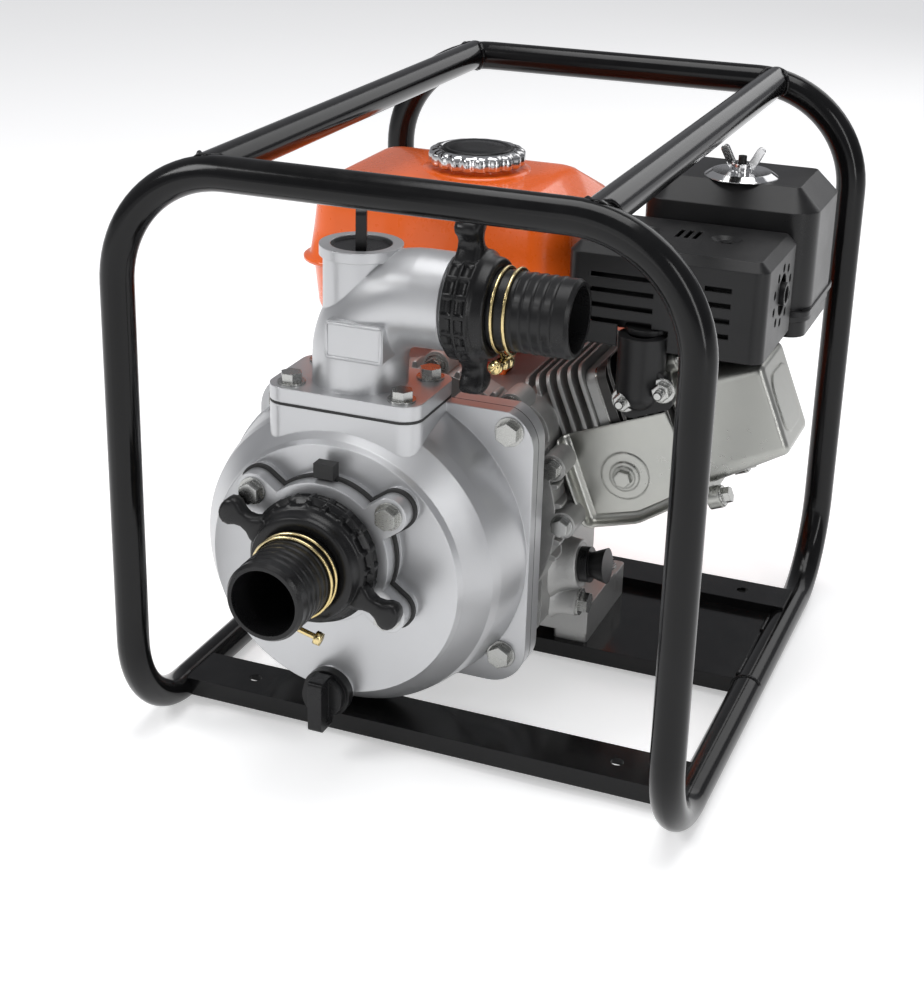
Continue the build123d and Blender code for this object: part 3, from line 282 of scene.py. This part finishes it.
def add_tube(bm, points, radius, around=10, closed=False):
    """Sweeps a circle along points; radius is a number or a function of the point index."""
    rings = []
    for i, (p, a, b) in enumerate(frames_along(points, closed)):
        r = radius(i) if callable(radius) else radius
        rings.append([bm.verts.new(p + (a * math.cos(t) + b * math.sin(t)) * r)
                      for t in (2 * math.pi * k / around for k in range(around))])
    spans = len(rings) if closed else len(rings) - 1
    for i in range(spans):
        first, second = rings[i], rings[(i + 1) % len(rings)]
        for k in range(around):
            bm.faces.new((first[k], first[(k + 1) % around], second[(k + 1) % around], second[k]))
    if not closed:
        bm.faces.new(rings[0][::-1])
        bm.faces.new(rings[-1])


def add_lathe(bm, centre, axis, profile, around=48, scallop=None):
    """Turns (radius, height) pairs about an axis; scallop changes radius with angle."""
    axis = Vector(axis).normalized()
    a = axis.orthogonal().normalized()
    b = axis.cross(a)
    rings = []
    for r, h in profile:
        ring = []
        for k in range(around):
            t = 2 * math.pi * k / around
            rr = r * (scallop(t, r) if scallop else 1.0)
            spoke = a * math.cos(t) + b * math.sin(t)
            ring.append(bm.verts.new(Vector(centre) + axis * h + spoke * rr))
        rings.append(ring)
    for first, second in zip(rings, rings[1:]):
        for k in range(around):
            bm.faces.new((first[k], first[(k + 1) % around], second[(k + 1) % around], second[k]))
    bm.faces.new(rings[0][::-1])
    bm.faces.new(rings[-1])


def add_ring(bm, centre, axis, profile, around=64, pocket=lambda t, r: 1.0):
    """Closed (radius, height) outline in millimetres turned about an axis, open in the middle."""
    ax = Vector(axis).normalized()
    a = ax.orthogonal().normalized()
    b = ax.cross(a)
    rings = []
    for r, h in profile:
        ring = []
        for k in range(around):
            t = 2 * math.pi * k / around
            spoke = (a * math.cos(t) + b * math.sin(t)) * r * pocket(t, r)
            ring.append(bm.verts.new(Vector(centre) + (ax * h + spoke) / 1000.0))
        rings.append(ring)
    for first, second in zip(rings, rings[1:] + rings[:1]):
        for k in range(around):
            bm.faces.new((first[k], first[(k + 1) % around], second[(k + 1) % around], second[k]))


def add_hex(bm, seat, axis, flats, height):
    """Hexagon nut or head with a turned chamfer on its outer corners."""
    corner = flats / math.sqrt(3)
    steps = [(1.0, 0.0), (1.0, 0.78), (0.93, 0.93), (0.84, 1.0), (0.0001, 1.0)]
    add_lathe(bm, seat, axis, [(corner * s, height * h) for s, h in steps], around=6)


def tilted(at, y, across):
    """Point in the leaning cylinder's own axes: along it from the crank, along Y, and square to both."""
    c, s = math.cos(TILT), math.sin(TILT)
    return MM(CX + at * c - across * s, y, CZ + at * s + across * c)


# ---------------------------------------------------------------- weld beads
def ripple(i):
    """Radius of a hand-laid bead: overlapping puddles."""
    return (1.35 + 0.28 * abs(math.sin(i * 0.8)) + 0.1 * math.sin(i * 2.3)) / 1000.0


def bar_weld(bm, side, end):
    """Saddle-shaped bead where a top bar meets a hoop."""
    points = []
    for k in range(72):
        t = 2 * math.pi * k / 72
        reach = (TUBE_R + 0.6) * abs(math.cos(t))
        points.append(MM(side * BAR_X + (TUBE_R + 0.4) * math.cos(t), end * (CAGE_B - reach),
                         min(CAGE_H - 1.8, CAGE_H - TUBE_R + (TUBE_R + 0.4) * math.sin(t))))
    add_tube(bm, points, ripple, 8, closed=True)


welds = bmesh.new()
for side in (-1, 1):
    for end in (-1, 1):
        bar_weld(welds, side, end)
piece("top_bar_welds", welds, TUBE, "pump_set")


# ---------------------------------------------------------------- small turned and pressed pieces
nuts = bmesh.new()
for at in (160.0, 188.0):
    seat = tilted(at, FIN_FRONT - 9.0, 33.0)
    add_lathe(nuts, seat, (0, -1, 0), [(0.0088, 0.0), (0.0088, 0.001), (0.0082, 0.0014), (0.004, 0.0014)])
    add_hex(nuts, seat + Vector((0, -0.0014, 0)), (0, -1, 0), 0.0116, 0.0058)
    thread = [(0.0001, 0.0)]
    for i in range(9):
        thread += [(0.0032, 0.0066 + 0.0007 * i), (0.0028, 0.0066 + 0.0007 * i + 0.00035)]
    add_lathe(nuts, seat, (0, -1, 0), thread + [(0.0024, 0.0134)], around=20)
piece("exhaust_stud_nuts", nuts, ZINC, "pump_set", smooth=False, bevel=0.0003)

skirt = bmesh.new()


def crown(t, r):
    """Rounded finger scallops, fading out towards the middle of the cap."""
    depth = 0.055 * min(1.0, max(0.0, (r - 0.028) / 0.006))
    return 1.0 - depth * (0.5 - 0.5 * math.cos(20 * t)) ** 1.5


add_lathe(skirt, MM(*CAP), (0, 0, 1), [(0.0262, -0.006), (0.0262, 0.0032), (0.0338, 0.0032),
                                       (0.0352, 0.0042), (0.0355, 0.006), (0.0355, 0.0108),
                                       (0.0348, 0.0126), (0.0330, 0.0138), (0.0300, 0.0146),
                                       (0.0278, 0.0148), (0.0268, 0.0140), (0.0262, 0.0132),
                                       (0.0100, 0.0130)], around=240, scallop=crown)
cap = piece("fuel_cap_crown", skirt, CHROME, "tank_cap")
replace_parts(cap, "fuel_cap")
disc = bmesh.new()
add_lathe(disc, MM(*CAP), (0, 0, 1), [(0.0258, 0.0130), (0.0258, 0.0146), (0.0250, 0.0153),
                                      (0.0225, 0.0154), (0.0217, 0.0148), (0.0209, 0.0148),
                                      (0.0200, 0.0154), (0.0120, 0.0156), (0.0001, 0.0156)], around=96)
piece("fuel_cap_disc", disc, PLASTIC, "tank_cap")

rim = bmesh.new()
PAD_X0, PAD_X1, PAD_Z0, PAD_Z1 = EX - 10.0, EX + 31.0, 274.0, 300.0
PAD_Y, PAD_INSET = EY - 35.0, 1.6
loop = [MM(x, PAD_Y, z) for x, z in ((PAD_X0 + PAD_INSET, PAD_Z0 + PAD_INSET),
                                      (PAD_X1 - PAD_INSET, PAD_Z0 + PAD_INSET),
                                      (PAD_X1 - PAD_INSET, PAD_Z1 - PAD_INSET),
                                      (PAD_X0 + PAD_INSET, PAD_Z1 - PAD_INSET))]
corners = []
for i, p in enumerate(loop):
    q = loop[(i + 1) % 4]
    corners += [p.lerp(q, 0.03), p.lerp(q, 0.5), p.lerp(q, 0.97)]
add_tube(rim, corners, 0.0011, 8, closed=True)
piece("elbow_pad_rim", rim, SILVER, "pump_set")


# ---------------------------------------------------------------- wire hose clamps
def add_slotted_screw(bm, start, axis, radius, length, head_radius, head_length, pitch):
    """Threaded shank with a cheese head whose slot is cut by two half-round cheeks."""
    profile = [(0.0001, 0.0)]
    turns = int(length / pitch)
    for i in range(turns):
        profile += [(radius, pitch * i), (radius * 0.82, pitch * (i + 0.5))]
    profile.append((radius, length))
    add_lathe(bm, start, axis, profile, around=20)
    head = Vector(start) + Vector(axis).normalized() * length
    add_lathe(bm, head, axis, [(head_radius, 0.0), (head_radius, head_length * 0.62),
                               (head_radius * 0.94, head_length * 0.7), (0.0001, head_length * 0.7)],
              around=28)
    a = Vector(axis).normalized().orthogonal().normalized()
    b = Vector(axis).normalized().cross(a)
    edge_angle = math.asin(0.16)             # where the slot meets the rim of the head
    for sign in (-1, 1):
        low, high = [], []
        for k in range(15):
            t = edge_angle + (math.pi - 2 * edge_angle) * k / 14
            p = head + (a * math.cos(t) + b * math.sin(t) * sign) * head_radius * 0.96
            low.append(bm.verts.new(p + Vector(axis).normalized() * head_length * 0.6))
            high.append(bm.verts.new(p + Vector(axis).normalized() * head_length))
        bm.faces.new(high if sign > 0 else high[::-1])
        for k in range(15):
            n = (k + 1) % 15
            bm.faces.new((low[k], low[n], high[n], high[k]))


def clamp_piece(name, centre, axis, across, inner, gap, tail_at, screw_length, hand):
    """Two turns of wire round a hose tail, ends wrapped on two square nuts joined by a screw."""
    wire = 0.00115
    ax, u = Vector(axis).normalized(), Vector(across).normalized()
    v = ax.cross(u)
    centre = Vector(centre)
    r = inner + wire
    bm = bmesh.new()
    start, sweep = math.radians(tail_at), 2 * math.pi
    for turn in (0, 1):
        points = []
        for k in range(97):
            f = k / 96
            t = start + sweep * f
            wobble = 0.00018 * math.sin(3 * t + turn)
            lift = r + wobble
            points.append(centre + (u * math.cos(t) + v * math.sin(t)) * lift
                          + ax * (gap * turn + 0.0009 * f))
        add_tube(bm, points, wire, 10)
    down = u * math.cos(start) + v * math.sin(start)
    along = ax.cross(down).normalized() * hand
    for k, sign in enumerate((-1, 1)):
        foot = centre + down * (r + 0.0002) + along * sign * 0.0045 + ax * (gap * 0.5)
        for turn in (0, 1):
            join = centre + down * r + along * sign * 0.0008 + ax * (gap * turn)
            knee = (join + foot + down * 0.003) * 0.5 + down * 0.001
            add_tube(bm, [join, knee, foot + down * 0.0045], wire, 8)
        add_lathe(bm, foot + down * 0.0032 - ax * 0.0001, down, [(0.0047, 0), (0.0047, 0.0062)], around=4)
    screw_at = centre + down * (r + 0.0066) + ax * (gap * 0.5) - along * 0.009
    add_slotted_screw(bm, screw_at, along, 0.0021, screw_length, 0.0045, 0.0042, 0.0009)
    return piece(name, bm, BRASS, "pump_set", bevel=0.0)


front_clamp = clamp_piece("suction_wire_clamp", MM(SX, -226.4, SZ), (0, -1, 0), (1, 0, 0), 0.0268, 0.0068,
                          -105.0, 0.034, 1)
clamp_piece("discharge_wire_clamp", MM(35.2, EY, EZ), (1, 0, 0), (0, 1, 0), 0.0261, 0.0082, 262.0,
            0.026, -1)
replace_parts(front_clamp, "hose_wire_clamps")


# ---------------------------------------------------------------- fuel tank shell
TANK_X0, TANK_X1, TANK_Y0, TANK_Y1 = -165.0, 37.0, -15.0, 130.0
SEAM_Z, TANK_TOP, TANK_LOW = 290.0, 353.0, 248.0


def rounded_loop(x0, x1, y0, y1, r, z, per=8):
    """Points round a rounded rectangle at height z, in drawing millimetres."""
    out = []
    corners = ((x1 - r, y1 - r, 0), (x0 + r, y1 - r, 90), (x0 + r, y0 + r, 180), (x1 - r, y0 + r, 270))
    for cx, cy, a0 in corners:
        for k in range(per + 1):
            a = math.radians(a0 + 90.0 * k / per)
            out.append(MM(cx + r * math.cos(a), cy + r * math.sin(a), z))
    return out


def add_loft(bm, loops):
    """Skins equal loops of points one to the next and closes both ends."""
    rows = [[bm.verts.new(p) for p in loop] for loop in loops]
    count = len(rows[0])
    for first, second in zip(rows, rows[1:]):
        for k in range(count):
            bm.faces.new((first[k], first[(k + 1) % count], second[(k + 1) % count], second[k]))
    bm.faces.new(rows[0][::-1])
    bm.faces.new(rows[-1])


def tank_loop(inset, r, z, extra_x=0.0):
    """Outline of the tank drawn in by inset, and by extra_x more on the muffler side."""
    return rounded_loop(TANK_X0 + inset, TANK_X1 - inset - extra_x, TANK_Y0 + inset, TANK_Y1 - inset, r,
                        z)


tank = bmesh.new()
add_loft(tank, [tank_loop(16.0, 20, TANK_LOW), tank_loop(11.0, 22, TANK_LOW + 0.8),
                tank_loop(7.6, 24, TANK_LOW + 3.5), tank_loop(6.0, 25, TANK_LOW + 8),
                tank_loop(3.4, 26, SEAM_Z - 5), tank_loop(2.6, 26.5, SEAM_Z - 2.4),
                tank_loop(-2.6, 30, SEAM_Z - 2.0), tank_loop(-3.9, 31, SEAM_Z - 1.2),
                tank_loop(-4.0, 31, SEAM_Z + 0.9), tank_loop(-3.2, 30.5, SEAM_Z + 1.7),
                tank_loop(-0.4, 28, SEAM_Z + 2.1), tank_loop(0.9, 27, SEAM_Z + 3.6),
                tank_loop(3.4, 26, SEAM_Z + 24), tank_loop(5.2, 25, SEAM_Z + 42),
                tank_loop(6.0, 24.4, SEAM_Z + 46), tank_loop(8.0, 23, SEAM_Z + 48.8),
                tank_loop(17.2, 15, SEAM_Z + 58.4, 9.0), tank_loop(19.2, 13.6, SEAM_Z + 60.6, 10.6),
                tank_loop(22.2, 12, SEAM_Z + 61.9, 11.6), tank_loop(27.0, 10, SEAM_Z + 62.4, 12.0),
                tank_loop(45.0, 8, SEAM_Z + 62.5, 12.0)])
shell = piece("fuel_tank_shell", tank, ORANGE, "pump_set")
neck = bmesh.new()
add_lathe(neck, MM(CAP[0], CAP[1], TANK_TOP), (0, 0, 1),
          [(0.0400, -0.0020), (0.0395, -0.0002), (0.0350, 0.0004), (0.0310, 0.0007), (0.0294, 0.0014),
           (0.0290, 0.0026), (0.0284, 0.0030), (0.0262, 0.0030), (0.0260, -0.0020)], around=96)
piece("fuel_tank_neck", neck, ORANGE, "pump_set")
feet = bmesh.new()
for x in (-110.0, -20.0):
    for side in (-1, 1):
        add_loft(feet, [rounded_loop(x + side * 12.5 - 1.5, x + side * 12.5 + 1.5, -3, 15, 1.4, z, 2)
                        for z in (222.0, 222.6, 249.5, 250.0)])
    add_loft(feet, [rounded_loop(x - 14, x + 14, -3, 15, 3, z, 3) for z in (222.0, 222.4, 223.6, 224.0)])
piece("fuel_tank_feet", feet, ORANGE, "pump_set", bevel=0.0003)
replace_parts(shell, "fuel_tank")


# ---------------------------------------------------------------- coupling rings with finger lugs
def add_lug(bm, centre, axis, out, root, reach, depth, wide):
    """Waisted wing with a two-lobed grip, lofted outwards from the ring."""
    axis, out = Vector(axis).normalized(), Vector(out).normalized()
    side = axis.cross(out)
    span = reach - root
    stations = [(-0.28, 11.0, 1.0), (0.0, 9.6, 1.0), (0.16, 6.2, 0.94), (0.34, 5.0, 0.9),
                (0.5, 6.4, 0.92), (0.64, 9.4, 0.98), (0.78, 10.2, 1.0), (0.9, 8.6, 0.95),
                (0.97, 5.6, 0.86), (1.0, 3.0, 0.7)]
    loops = []
    for f, half, thick in stations:
        at = Vector(centre) + out * (root + span * f) / 1000.0
        d = depth * thick / 2000.0
        h = half * wide / 1000.0
        loop = []
        for k in range(20):
            t = 2 * math.pi * k / 20
            ct, st = math.cos(t), math.sin(t)
            sx = math.copysign(abs(ct) ** 0.55, ct)
            sy = math.copysign(abs(st) ** 0.55, st)
            loop.append(at + side * h * sx + axis * d * sy)
        loops.append(loop)
    add_loft(bm, loops)


POCKET_DEPTH = 0.058                         # share of the radius
POCKET_SHARE = 0.72                          # share of each pitch that is pocket


def coupling(name, node, body, centre, axis, start, bands, profile, reach, lug_turn, lug_mid, depth, wide,
             bore):
    """Moulded ring with pocketed bands, a smooth nose and two lugs, in place of its CAD node.

    profile holds (radius, height) pairs and bands (radius, count of pockets), in millimetres.
    """
    def pocket(t, r):
        for radius, count in bands:
            if abs(r - radius) < 0.02:
                phase = (t * count / (2 * math.pi) + 0.25) % 1.0
                return 1.0 - (POCKET_DEPTH if phase < POCKET_SHARE else 0.0)
        return 1.0
    ax = Vector(axis).normalized()
    base = MM(*centre)
    bm = bmesh.new()
    add_ring(bm, base, ax, profile, 288, pocket)
    for half_turn in (0.0, math.pi):
        turn = lug_turn + half_turn
        out = start * math.cos(turn) + ax.cross(start) * math.sin(turn)
        add_lug(bm, base + ax * lug_mid / 1000.0, ax, out, bore + 7.0, reach, depth, wide)
    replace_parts(piece(name, bm, PLASTIC, body), node)


coupling("suction_coupling_ring", "suction_ring_nut", "suction_coupling", (SX, -195.0, SZ), (0, -1, 0),
         Vector((1, 0, 0)), ((43.6, 20), (41.6, 20)), [(34.3, 0.0), (42.6, 0.0), (43.6, 0.8),
                                                       (43.601, 1.6), (43.6, 1.7), (43.6, 7.4),
                                                       (43.601, 7.5), (43.9, 7.9), (43.9, 8.6),
                                                       (41.62, 8.9), (41.6, 9.0), (41.6, 14.0),
                                                       (41.62, 14.1), (41.2, 15.2), (39.0, 16.2),
                                                       (37.6, 17.2), (36.6, 22.0), (36.0, 25.2),
                                                       (35.2, 26.0), (28.0, 26.0), (27.4, 25.4),
                                                       (27.4, 21.4), (34.3, 21.2)], 69.0,
         math.radians(-25.0), 11.5, 13.0, 1.0, 34.3)
coupling("discharge_coupling_ring", "discharge_ring_nut", "discharge_coupling", (5.0, EY, EZ),
         (1, 0, 0), Vector((0, -math.sin(math.radians(8)), math.cos(math.radians(8)))),
         ((36.2, 18), (36.6, 18)), [(29.3, 0.0), (35.2, 0.0), (36.18, 0.9), (36.2, 1.6), (36.2, 7.8),
                                    (36.18, 7.9), (36.9, 8.4), (37.0, 9.2), (36.9, 9.8), (36.58, 10.1),
                                    (36.6, 10.2), (36.6, 16.2), (36.58, 16.3), (36.0, 17.6),
                                    (34.4, 18.8), (33.2, 20.4), (32.4, 25.0), (31.6, 26.6),
                                    (30.8, 27.0), (27.0, 27.0), (26.5, 26.6), (26.5, 22.4),
                                    (29.3, 22.2)], 61.0, 0.0, 9.0, 17.0, 1.25, 29.3)


# ---------------------------------------------------------------- guide plate lip, dipstick boss, ribs
GUIDE_Y = FIN_FRONT - 1.6


def add_lip(bm, path):
    """Sheet edge turned out towards the pump side; path holds (along, across, height) in millimetres."""
    rows = []
    for i, (at, across, high) in enumerate(path):
        before, after = path[max(i - 1, 0)], path[min(i + 1, len(path) - 1)]
        run = Vector((after[0] - before[0], after[1] - before[1])).normalized()
        nx, ny = run.y, -run.x
        section = ((-5.0, -0.25), (-3.2, -0.3), (-1.4, -1.0), (-0.4, -2.4), (0.0, -4.0),
                   (0.15, -4.0 - high), (0.9, -4.4 - high), (1.6, -4.0 - high), (1.6, -3.6),
                   (1.0, -1.2), (-0.6, 0.6), (-3.0, 1.3), (-5.0, 1.3))
        rows.append([tilted(at + nx * out, GUIDE_Y + y, across + ny * out) for out, y in section])
    add_loft(bm, rows)


lip = bmesh.new()
LIP_EDGE, LIP_LOW, LIP_BEND = 105.0, -45.0, 5.0   # left edge, start and radius of its lower corner
corner = []
for degrees in range(0, 91, 15):
    a = math.radians(degrees)
    corner.append((LIP_EDGE + LIP_BEND * (1 - math.cos(a)), LIP_LOW - LIP_BEND * math.sin(a),
                   11.0 - degrees / 15.0))
add_lip(lip, [(LIP_EDGE, 15.6, 5.0), (LIP_EDGE, 10.0, 9.0), (LIP_EDGE, 4.0, 11.0),
              (LIP_EDGE, -20.0, 11.0), *corner, (124.0, -51.8, 4.6), (139.0, -53.6, 4.0),
              (143.0, -53.4, 4.0), (158.0, -50.4, 3.6), (173.0, -47.2, 3.0), (177.0, -44.6, 2.6),
              (181.5, -31.0, 2.0), (185.4, -19.0, 0.6)])
piece("air_guide_lip", lip, COVER_ZINC, "pump_set")

DIPSTICK_BOSS, DIPSTICK_AXIS = (36.0, -12.0, 88.0), (1, 0, 0.12)
OIL_DRAIN_BOSS = (36.0, -14.0, 62.0)
RIB_ANGLES = (-14, -7, 8.5, 16.5, 32, 39, 45, 60, 68, 76, 94, 102, 110, 127, 134, 141, 158, 166, 174)
# station along Y, inner and outer radius, half width
RIB_STATIONS = ((-61.4, 96.0, 104.6, 1.9), (-58.0, 96.0, 105.2, 1.7), (-49.0, 96.0, 104.6, 1.6),
                (-40.0, 96.0, 101.6, 1.6), (-38.2, 94.0, 99.6, 1.8))
cast = bmesh.new()
add_ring(cast, MM(*DIPSTICK_BOSS), DIPSTICK_AXIS, [(15.0, 6.0), (26.0, 6.0), (22.5, 9.5), (20.2, 14.0),
                                                   (18.8, 20.0), (18.0, 25.0), (17.2, 26.2),
                                                   (15.2, 26.2)])
add_ring(cast, MM(*OIL_DRAIN_BOSS), (1, 0, 0), [(9.0, 7.0), (15.5, 7.0), (12.8, 10.5), (11.6, 15.0),
                                                (11.0, 22.0), (10.9, 25.2), (9.4, 25.2)], 48)
for degrees in RIB_ANGLES:
    a = math.radians(degrees)
    out, side = Vector((math.cos(a), 0, math.sin(a))), Vector((-math.sin(a), 0, math.cos(a)))
    rows = []
    for y, low, high, half in RIB_STATIONS:
        centre = MM(CX, y, CZ)
        rows.append([centre + (out * r + side * w) / 1000.0 for r, w in
                     ((low, -half * 1.5), (high - 1.2, -half), (high, -half * 0.5), (high, half * 0.5),
                      (high - 1.2, half), (low, half * 1.5))])
    add_loft(cast, rows)
piece("crankcase_ribs_and_bosses", cast, ALLOY, "pump_set", bevel=0.0004)

# x, height and run along Y of each bead where a channel or the plate meets a bottom rail
RAIL_BEADS = ((175.6, 13.6, -160.0, -128.0), (176.6, 16.6, 118.0, 146.0), (177.2, 17.5, 8.0, 34.0),
              (177.2, 17.5, 82.0, 110.0))
BEAD_STEP = 1.2
stitch = bmesh.new()


def bead(points):
    """Adds one bead through drawing points."""
    add_tube(stitch, [MM(*p) for p in points], ripple, 8)


for side in (-1, 1):
    for x, z, y0, y1 in RAIL_BEADS:
        steps = int((y1 - y0) / BEAD_STEP)
        bead([(side * x, y0 + (y1 - y0) * k / steps, z) for k in range(steps + 1)])
    # butt joint of the two hoops, left off the outer and lower sides
    bead([(side * (CAGE_A + 10.7 * math.cos(t)), 0, TUBE_R + 10.7 * math.sin(t))
          for t in (math.radians(32.0 + 3.5 * k) for k in range(60))])
piece("bottom_rail_welds", stitch, TUBE, "pump_set")


# ---------------------------------------------------------------- camera
def aim_camera():
    """Three-quarter camera from above, on the pump side; angles in radians."""
    azimuth, elevation, roll = 0.400, 0.377, 0.016
    ahead = Vector((-math.sin(azimuth) * math.cos(elevation), math.cos(azimuth) * math.cos(elevation),
                    -math.sin(elevation)))
    right = ahead.cross(Vector((0, 0, 1))).normalized()
    up = right.cross(ahead)
    right, up = right * math.cos(roll) + up * math.sin(roll), up * math.cos(roll) - right * math.sin(roll)
    data = bpy.data.cameras.new("camera")
    data.sensor_width = 36.0
    data.lens = 66.2
    data.shift_x, data.shift_y = 0.055, -0.068
    data.clip_end = 20.0
    data.dof.use_dof = False
    cam = bpy.data.objects.new("camera", data)
    basis = Matrix((right, up, -ahead)).transposed().to_4x4()
    cam.matrix_world = Matrix.Translation(MM(411.1, -1166.4, 666.1)) @ basis
    bpy.context.scene.collection.objects.link(cam)
    bpy.context.scene.camera = cam


aim_camera()


# ---------------------------------------------------------------- floor and light
def area(name, at, target, size, power, size_y=None):
    """Rectangular softbox at a place, turned to its target; metres and watts."""
    data = bpy.data.lights.new(name, "AREA")
    data.energy = power
    data.shape = "RECTANGLE"
    data.size = size
    data.size_y = size_y or size
    lamp = bpy.data.objects.new(name, data)
    at, target = Vector(at), Vector(target)
    lamp.location = at
    lamp.rotation_euler = (target - at).to_track_quat("-Z", "Y").to_euler()
    bpy.context.scene.collection.objects.link(lamp)


area("key_softbox", (-1.6, -1.3, 1.7), (0, 0, 0.2), 0.9, 22)
area("top_softbox", (0.0, 0.1, 2.4), (0, 0, 0.2), 1.6, 32)
area("right_strip", (1.7, -1.1, 0.9), (0, 0, 0.25), 0.3, 9, size_y=1.6)
area("front_fill", (-0.3, -2.8, 0.7), (0, 0, 0.2), 1.2, 5)
area("back_fill", (0.6, 2.2, 1.5), (0, 0, 0.2), 1.6, 10)

bpy.context.scene.view_settings.view_transform = "Standard"
world = bpy.data.worlds.new("studio")
world.use_nodes = True
world.node_tree.nodes["Background"].inputs["Color"].default_value = (0.94, 0.95, 1.0, 1.0)
world.node_tree.nodes["Background"].inputs["Strength"].default_value = 0.28
bpy.context.scene.world = world

FLOOR = 40.0                                 # half width in metres
floor_mesh = bpy.data.meshes.new("studio_floor")
floor_mesh.from_pydata([(-FLOOR, -FLOOR, 0), (FLOOR, -FLOOR, 0), (FLOOR, FLOOR, 0), (-FLOOR, FLOOR, 0)],
                       [], [(0, 1, 2, 3)])
floor = bpy.data.objects.new("studio_floor", floor_mesh)
bpy.context.scene.collection.objects.link(floor)
g = Graph("studio_floor_paint")
g.colour(g.mix(g.noise(2.0), (0.86, 0.86, 0.86), (0.88, 0.88, 0.88)))
g.roughness(g.ramp(g.noise(3.0), 0.3, 0.7, 0.7, 0.8))
g.shader.inputs["Emission Color"].default_value = (1.0, 1.0, 1.0, 1.0)
g.shader.inputs["Emission Strength"].default_value = 0.42
floor.data.materials.append(g.mat)
